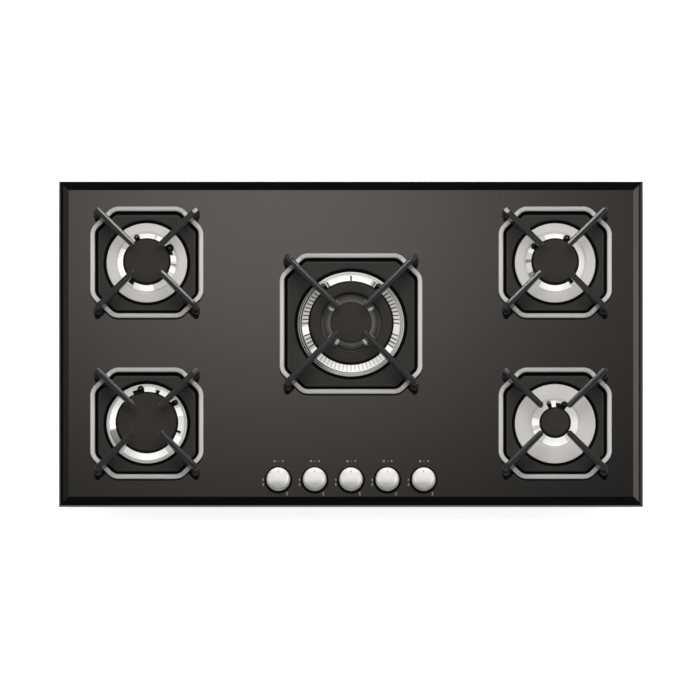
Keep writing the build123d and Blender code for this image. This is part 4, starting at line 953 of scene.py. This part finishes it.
# ------------------------------------------------------------------ pan supports
for name, b in BURNERS.items():
    cx, cy = b["c"]
    s = SUPPORT[kind(name)]
    body = "pan_support_" + name
    # bar frame: rounded section carried round the cut-cornered path
    sect = filleted([(-BAR_W / 2, BAR_Z), (BAR_W / 2, BAR_Z), (BAR_W / 2, BAR_Z + BAR_H), (-BAR_W / 2, BAR_Z + BAR_H)], [1.4, 1.4, 3.6, 3.6], 8)
    loops = []
    for off, z in sect:
        pts = filleted(octagon(s["a"] + off, s["d"] + off), s["rho"] + off, 14)
        loops.append([(x + cx, y + cy, z) for x, y in pts])
    verts, faces = loops_to_shell(loops + [loops[0]])
    ids = []
    for f in faces:
        fx, fy = sum(verts[i][0] for i in f) / 4 - cx, sum(verts[i][1] for i in f) / 4 - cy
        # front and rear bars take the darker painted-shade copy
        ids.append(1 if abs(fy) > abs(fx) else 0)
    build("bar_frame_" + name, verts, faces, [BAR_PAINTED_SHADING, BAR_FRONT_REAR_PAINTED_SHADE], body, ["pan_support_frame_" + name], ids, 40)
    # arms: cast blades with a low ridge along the top, sides that widen downwards and round ends
    rb_, rt_ = s["boss"], s["tip"]
    bar_in, bar_out = s["d"] - BAR_W / 2 - 1.0, s["d"] + BAR_W / 2 + 0.4
    tb = BAR_Z + BAR_H - 1.0
    end = rb_ + ARM_END
    if name == "centre":
        low = [(rt_, 97.4), (rt_ + 34, 95.0), (rt_ + 62, 86.0), (bar_in - 6, tb + 5.0), (bar_in, tb), (bar_out, tb), (bar_out + 0.05, 63.5), (end, 63.5)]
    else:
        low = [(rt_, 97.4), (rt_ + 22, 95.0), (rt_ + 40, 86.0), (bar_in - 5, tb + 5.5), (bar_in, tb), (bar_out, tb), (bar_out + 0.05, 63.5), (end, 63.5)]
    low = filleted(low, [0, 28, 28, 9, 2.0, 0, 0, 0], 6, closed=False)

    def low_at(r):
        for (ra, za), (rb2, zb) in zip(low, low[1:]):
            if ra <= r <= rb2:
                return za if rb2 - ra < 1e-9 else za + (zb - za) * (r - ra) / (rb2 - ra)
        return low[-1][1]

    hw = 4.62
    stations = [rt_ + hw * (1 - cos(radians(90 * q / 9))) for q in range(0, 10)]
    stations += [q[0] for q in low if rt_ + hw + 0.5 < q[0] < end - 6.5]
    r0 = stations[9]
    stations += [r0 + (end - 6.5 - r0) * q / 22 for q in range(1, 22)]
    stations += [end - 13.5, end - 12.0, end - 11.0, end - 10.5, end - 9.0, end - 8.0, end - 7.2, end - 6.5]
    stations += [end - 5.6 + 5.6 * sin(radians(90 * q / 12)) for q in range(0, 13)]
    stations = sorted(set(round(q, 4) for q in stations))
    allv, allf = [], []
    for k in range(4):
        th = radians(45 + 90 * k)
        u, w = (cos(th), sin(th)), (-sin(th), cos(th))
        rows = []
        for r in stations:
            # plan rounding of both ends and rounding of the top edge towards them
            kt = 1.0
            if r < rt_ + hw:
                kt = sqrt(max(0.0, 1 - ((rt_ + hw - r) / hw) ** 2))
            elif r > end - 4.6:
                kt = sqrt(max(0.0, 1 - ((r - end + 4.6) / 4.6) ** 2))
            kt = max(kt, 0.04)
            zt = ARM_TOP
            if r < rt_ + 3.0:
                zt -= 3.0 - sqrt(max(0.0, 9.0 - (rt_ + 3.0 - r) ** 2))
            if r > end - 11.0 and not ((cx < 0 and k == 1) or (cx > 0 and k == 0)):
                zt -= 0.195 * (min(r, end - 2.0) - end + 11.0)
            if r > end - 2.6:
                zt -= 2.6 - sqrt(max(0.0, 2.6 ** 2 - (r - end + 2.6) ** 2))
            zl = low_at(r)
            if r < rt_ + 2.0:
                zl += 1.6 - sqrt(max(0.0, 1.6 ** 2 - ((rt_ + 2.0 - r) * 0.8) ** 2))
            half = []
            wt = hw
            kz = 1.0
            if (cx < 0 and k in (0, 2)) or (cx > 0 and k in (1, 3)) or (cx == 0 and k in (0, 1)):
                kz = 1.0 - 0.9 * max(0.0, min(1.0, (r - end + 13.5) / 3.0))
            for t, dz in ((0.0, 0.0), (0.3, 0.02), (0.7, 0.09), (1.7, 0.30), (2.7, 0.51), (3.7, 0.72), (4.15, 0.98), (4.42, 1.4), (4.56, 1.95), (4.62, 2.6)):
                half.append((t * kt, zt - (dz * kz if t < 4 else dz - 0.72 * (1 - kz))))
            for f in (0.33, 0.66, 1.0):
                z = (zt - 2.6) + (zl + 0.9 - zt + 2.6) * f
                half.append(((wt + (ARM_TOP - z) * 0.010) * kt, z))
            half.append(((wt + (ARM_TOP - zl) * 0.010 - 0.35) * kt, zl + 0.25))
            half.append(((wt + (ARM_TOP - zl) * 0.010 - 1.0) * kt, zl))
            loop = half + [(-t, z) for t, z in reversed(half[1:])]
            rows.append([(cx + u[0] * r + w[0] * t, cy + u[1] * r + w[1] * t, z) for t, z in loop])
        off = len(allv)
        for row in rows:
            allv += row
        q = len(rows[0])
        for a_ in range(len(rows) - 1):
            for i in range(q):
                j = (i + 1) % q
                allf.append([off + a_ * q + i, off + a_ * q + j, off + (a_ + 1) * q + j, off + (a_ + 1) * q + i])
        allf.append([off + i for i in range(q)][::-1])
        allf.append([off + (len(rows) - 1) * q + i for i in range(q)])
    build("arms_" + name, allv, allf, [IRON], body, ["pan_support_arms_" + name], None, 34)
    # bosses at the feet, and the rubber feet
    allv, allf, footv, footf = [], [], [], []
    for k in range(4):
        c = (cx + rb_ * cos(radians(45 + 90 * k)), cy + rb_ * sin(radians(45 + 90 * k)))
        pr = filleted([(0, GT + 2), (6.6, GT + 2), (6.6, GT + 8.4), (4.6, GT + 12), (0, GT + 12)], [0, 0.6, 2.0, 1.4, 0], 4, closed=False)
        v, f = lathe_data([(2 * pi * q / 40, pr) for q in range(40)], c, False)
        off = len(allv)
        allv += v
        allf += [[i + off for i in g] for g in f]
        pr = filleted([(0, GT + 0.02), (5.7, GT + 0.02), (6.3, GT + 0.7), (6.3, GT + 2.0), (0, GT + 2.0)], [0, 0.3, 0.3, 0.15, 0], 3, closed=False)
        v, f = lathe_data([(2 * pi * q / 40, pr) for q in range(40)], c, False)
        off = len(footv)
        footv += v
        footf += [[i + off for i in g] for g in f]
    build("bosses_" + name, allv, allf, [IRON], body, ["pan_support_arms_" + name], None, 40)
    build("feet_" + name, footv, footf, [RUBBER], body, ["pan_support_feet_" + name], None, 40)


# ------------------------------------------------------------------ knobs, seals and print
def flat_shape(outline, z, thick, centre):
    """Thin raised shape from an outline in millimetres."""
    n = len(outline)
    v = [(x + centre[0], y + centre[1], z) for x, y in outline] + [(x + centre[0], y + centre[1], z + thick) for x, y in outline]
    f = [list(range(n))[::-1], list(range(n, 2 * n))] + [[i, (i + 1) % n, n + (i + 1) % n, n + i] for i in range(n)]
    return v, f


def disc(x, y, r, seg=16):
    return [(x + r * cos(2 * pi * k / seg), y + r * sin(2 * pi * k / seg)) for k in range(seg)]


def flame(x, y, h):
    pts = []
    for k in range(20):
        t = 2 * pi * k / 20
        w = 0.34 * h * sin(t) * (1 - 0.35 * cos(t))
        v = -0.5 * h * cos(t)
        pts.append((x + w * (0.75 if v > 0 else 1.0) * (1 - max(0, v / h) * 0.9), y + v))
    return pts


def bar_shape(x, y, w, h):
    return [(x - w / 2, y - h / 2), (x + w / 2, y - h / 2), (x + w / 2, y + h / 2), (x - w / 2, y + h / 2)]


for name, x in TAPS.items():
    c = (x, KNOB_Y)
    z0, z1 = KNOB_Z0, KNOB_Z1
    pr = [(0, z1 - 3.0), (6.0, z1 - 4.2), (6.0, z0 + 1.5), (3.1, z0 + 1.5), (3.1, z1 - 5.2), (0, z1 - 5.2)]
    prof = [(0, z1 - 5.3), (3.05, z1 - 5.3), (3.05, z0 + 1.5), (6.0, z0 + 1.5), (6.0, z1 - 4.2), (KNOB_R1 - 2.6, z1 - 4.2),
            (KNOB_R0 - 2.2, z0), (KNOB_R0 - 0.7, z0), (KNOB_R0, z0 + 0.9), (KNOB_R0 - 0.2, z0 + 3.0), (KNOB_R1 + 1.0, z1 - 4.6), (KNOB_R1 - 2.4, z1 - 1.9)]
    for k in range(1, 11):
        f = k / 10
        r = (KNOB_R1 - 2.4) * (1 - f)
        prof.append((r, z1 - 1.9 * (r / (KNOB_R1 - 2.4)) ** 2))
    rad = [0, 0.2, 0.2, 0.3, 0.5, 0.8, 0.3, 0.5, 0.5, 1.2, 4.5, 6.0] + [0.0] * 10
    lathe("knob_top_" + name, filleted(prof, rad, 5, closed=False), c, [KNOB_PAINTED_SHADING], "knob_" + name, ["knob_" + name], n=128, closed=False)
    # seal on the glass
    pr = filleted([(9.5, GLASS_Z0 - 1), (11.9, GLASS_Z0 - 1), (11.9, GT + 0.02), (21.4, GT + 0.02), (21.4, GT + 0.7), (20.6, GT + 1.5), (9.5, GT + 1.5)],
                  [0.2, 0.2, 0.1, 0.2, 0.4, 0.5, 0.3], 3)
    lathe("knob_seal_" + name, pr, c, [SEAL], BASE, ["knob_seals"], n=96)
    # indicator line on the knob
    v, f = flat_shape(bar_shape(0, 9.2, 1.5, 3.4), 0.0, 1.0, c)
    v = [(x, y, KNOB_Z1 - 1.9 * (hypot(x - c[0], y - c[1]) / (KNOB_R1 - 2.4)) ** 2 + (0.07 if z > 0.5 else -0.12)) for x, y, z in v]
    build("knob_line_" + name, v, f, [MARK], "knob_" + name, (), None, 40)
    # printed symbols round the knob
    shapes = [disc(-5.6, 29.6, 1.75), bar_shape(0.4, 29.6, 3.0, 0.7), disc(6.7, 29.6, 1.45), flame(-23.4, 0.6, 4.4), flame(-23.4, -6.9, 4.8),
              flame(13.4, -20.6, 4.8), bar_shape(13.4, -23.9, 3.6, 0.6)]
    allv, allf = [], []
    for sh in shapes:
        v, f = flat_shape(sh, GT + 0.012, 0.03, c)
        off = len(allv)
        allv += v
        allf += [[i + off for i in g] for g in f]
    build("print_" + name, allv, allf, [INK], BASE, (), None, 40)

# the small rear light falls on the iron only, so that it never glares in the glass
iron_only = bpy.data.collections.new("iron_only")
for o in list(coll.objects):
    if o.name.startswith(("arms_", "bosses_")):
        iron_only.objects.link(o)
kick.light_linking.receiver_collection = iron_only

# ------------------------------------------------------------------ CAD pieces that keep their shape
KEEP = {"base_tray": TRAY, "perimeter_seal": FOAM, "burner_bars": ZINC, "burner_cups": CAST, "manifold_rail": ZINC, "gas_inlet": BRASS,
        "gas_taps": BRASS, "gas_tubes": TUBE, "brass_fittings": BRASS, "spark_igniters": CERAMIC, "thermocouples": SENSOR,
        "ignition_module": MODULE, "cable_gland": GLAND, "worktop_clamps": ZINC, "fixing_screws": SCREW}
for n, m in KEEP.items():
    o = frame["nodes"][n]
    o.data.materials.clear()
    o.data.materials.append(m)
for n, o in frame["nodes"].items():
    if n.startswith("tap_plug"):
        o.data.materials.clear()
        o.data.materials.append(BRASS)
    elif n.startswith("tap_spindle"):
        o.data.materials.clear()
        o.data.materials.append(ZINC)
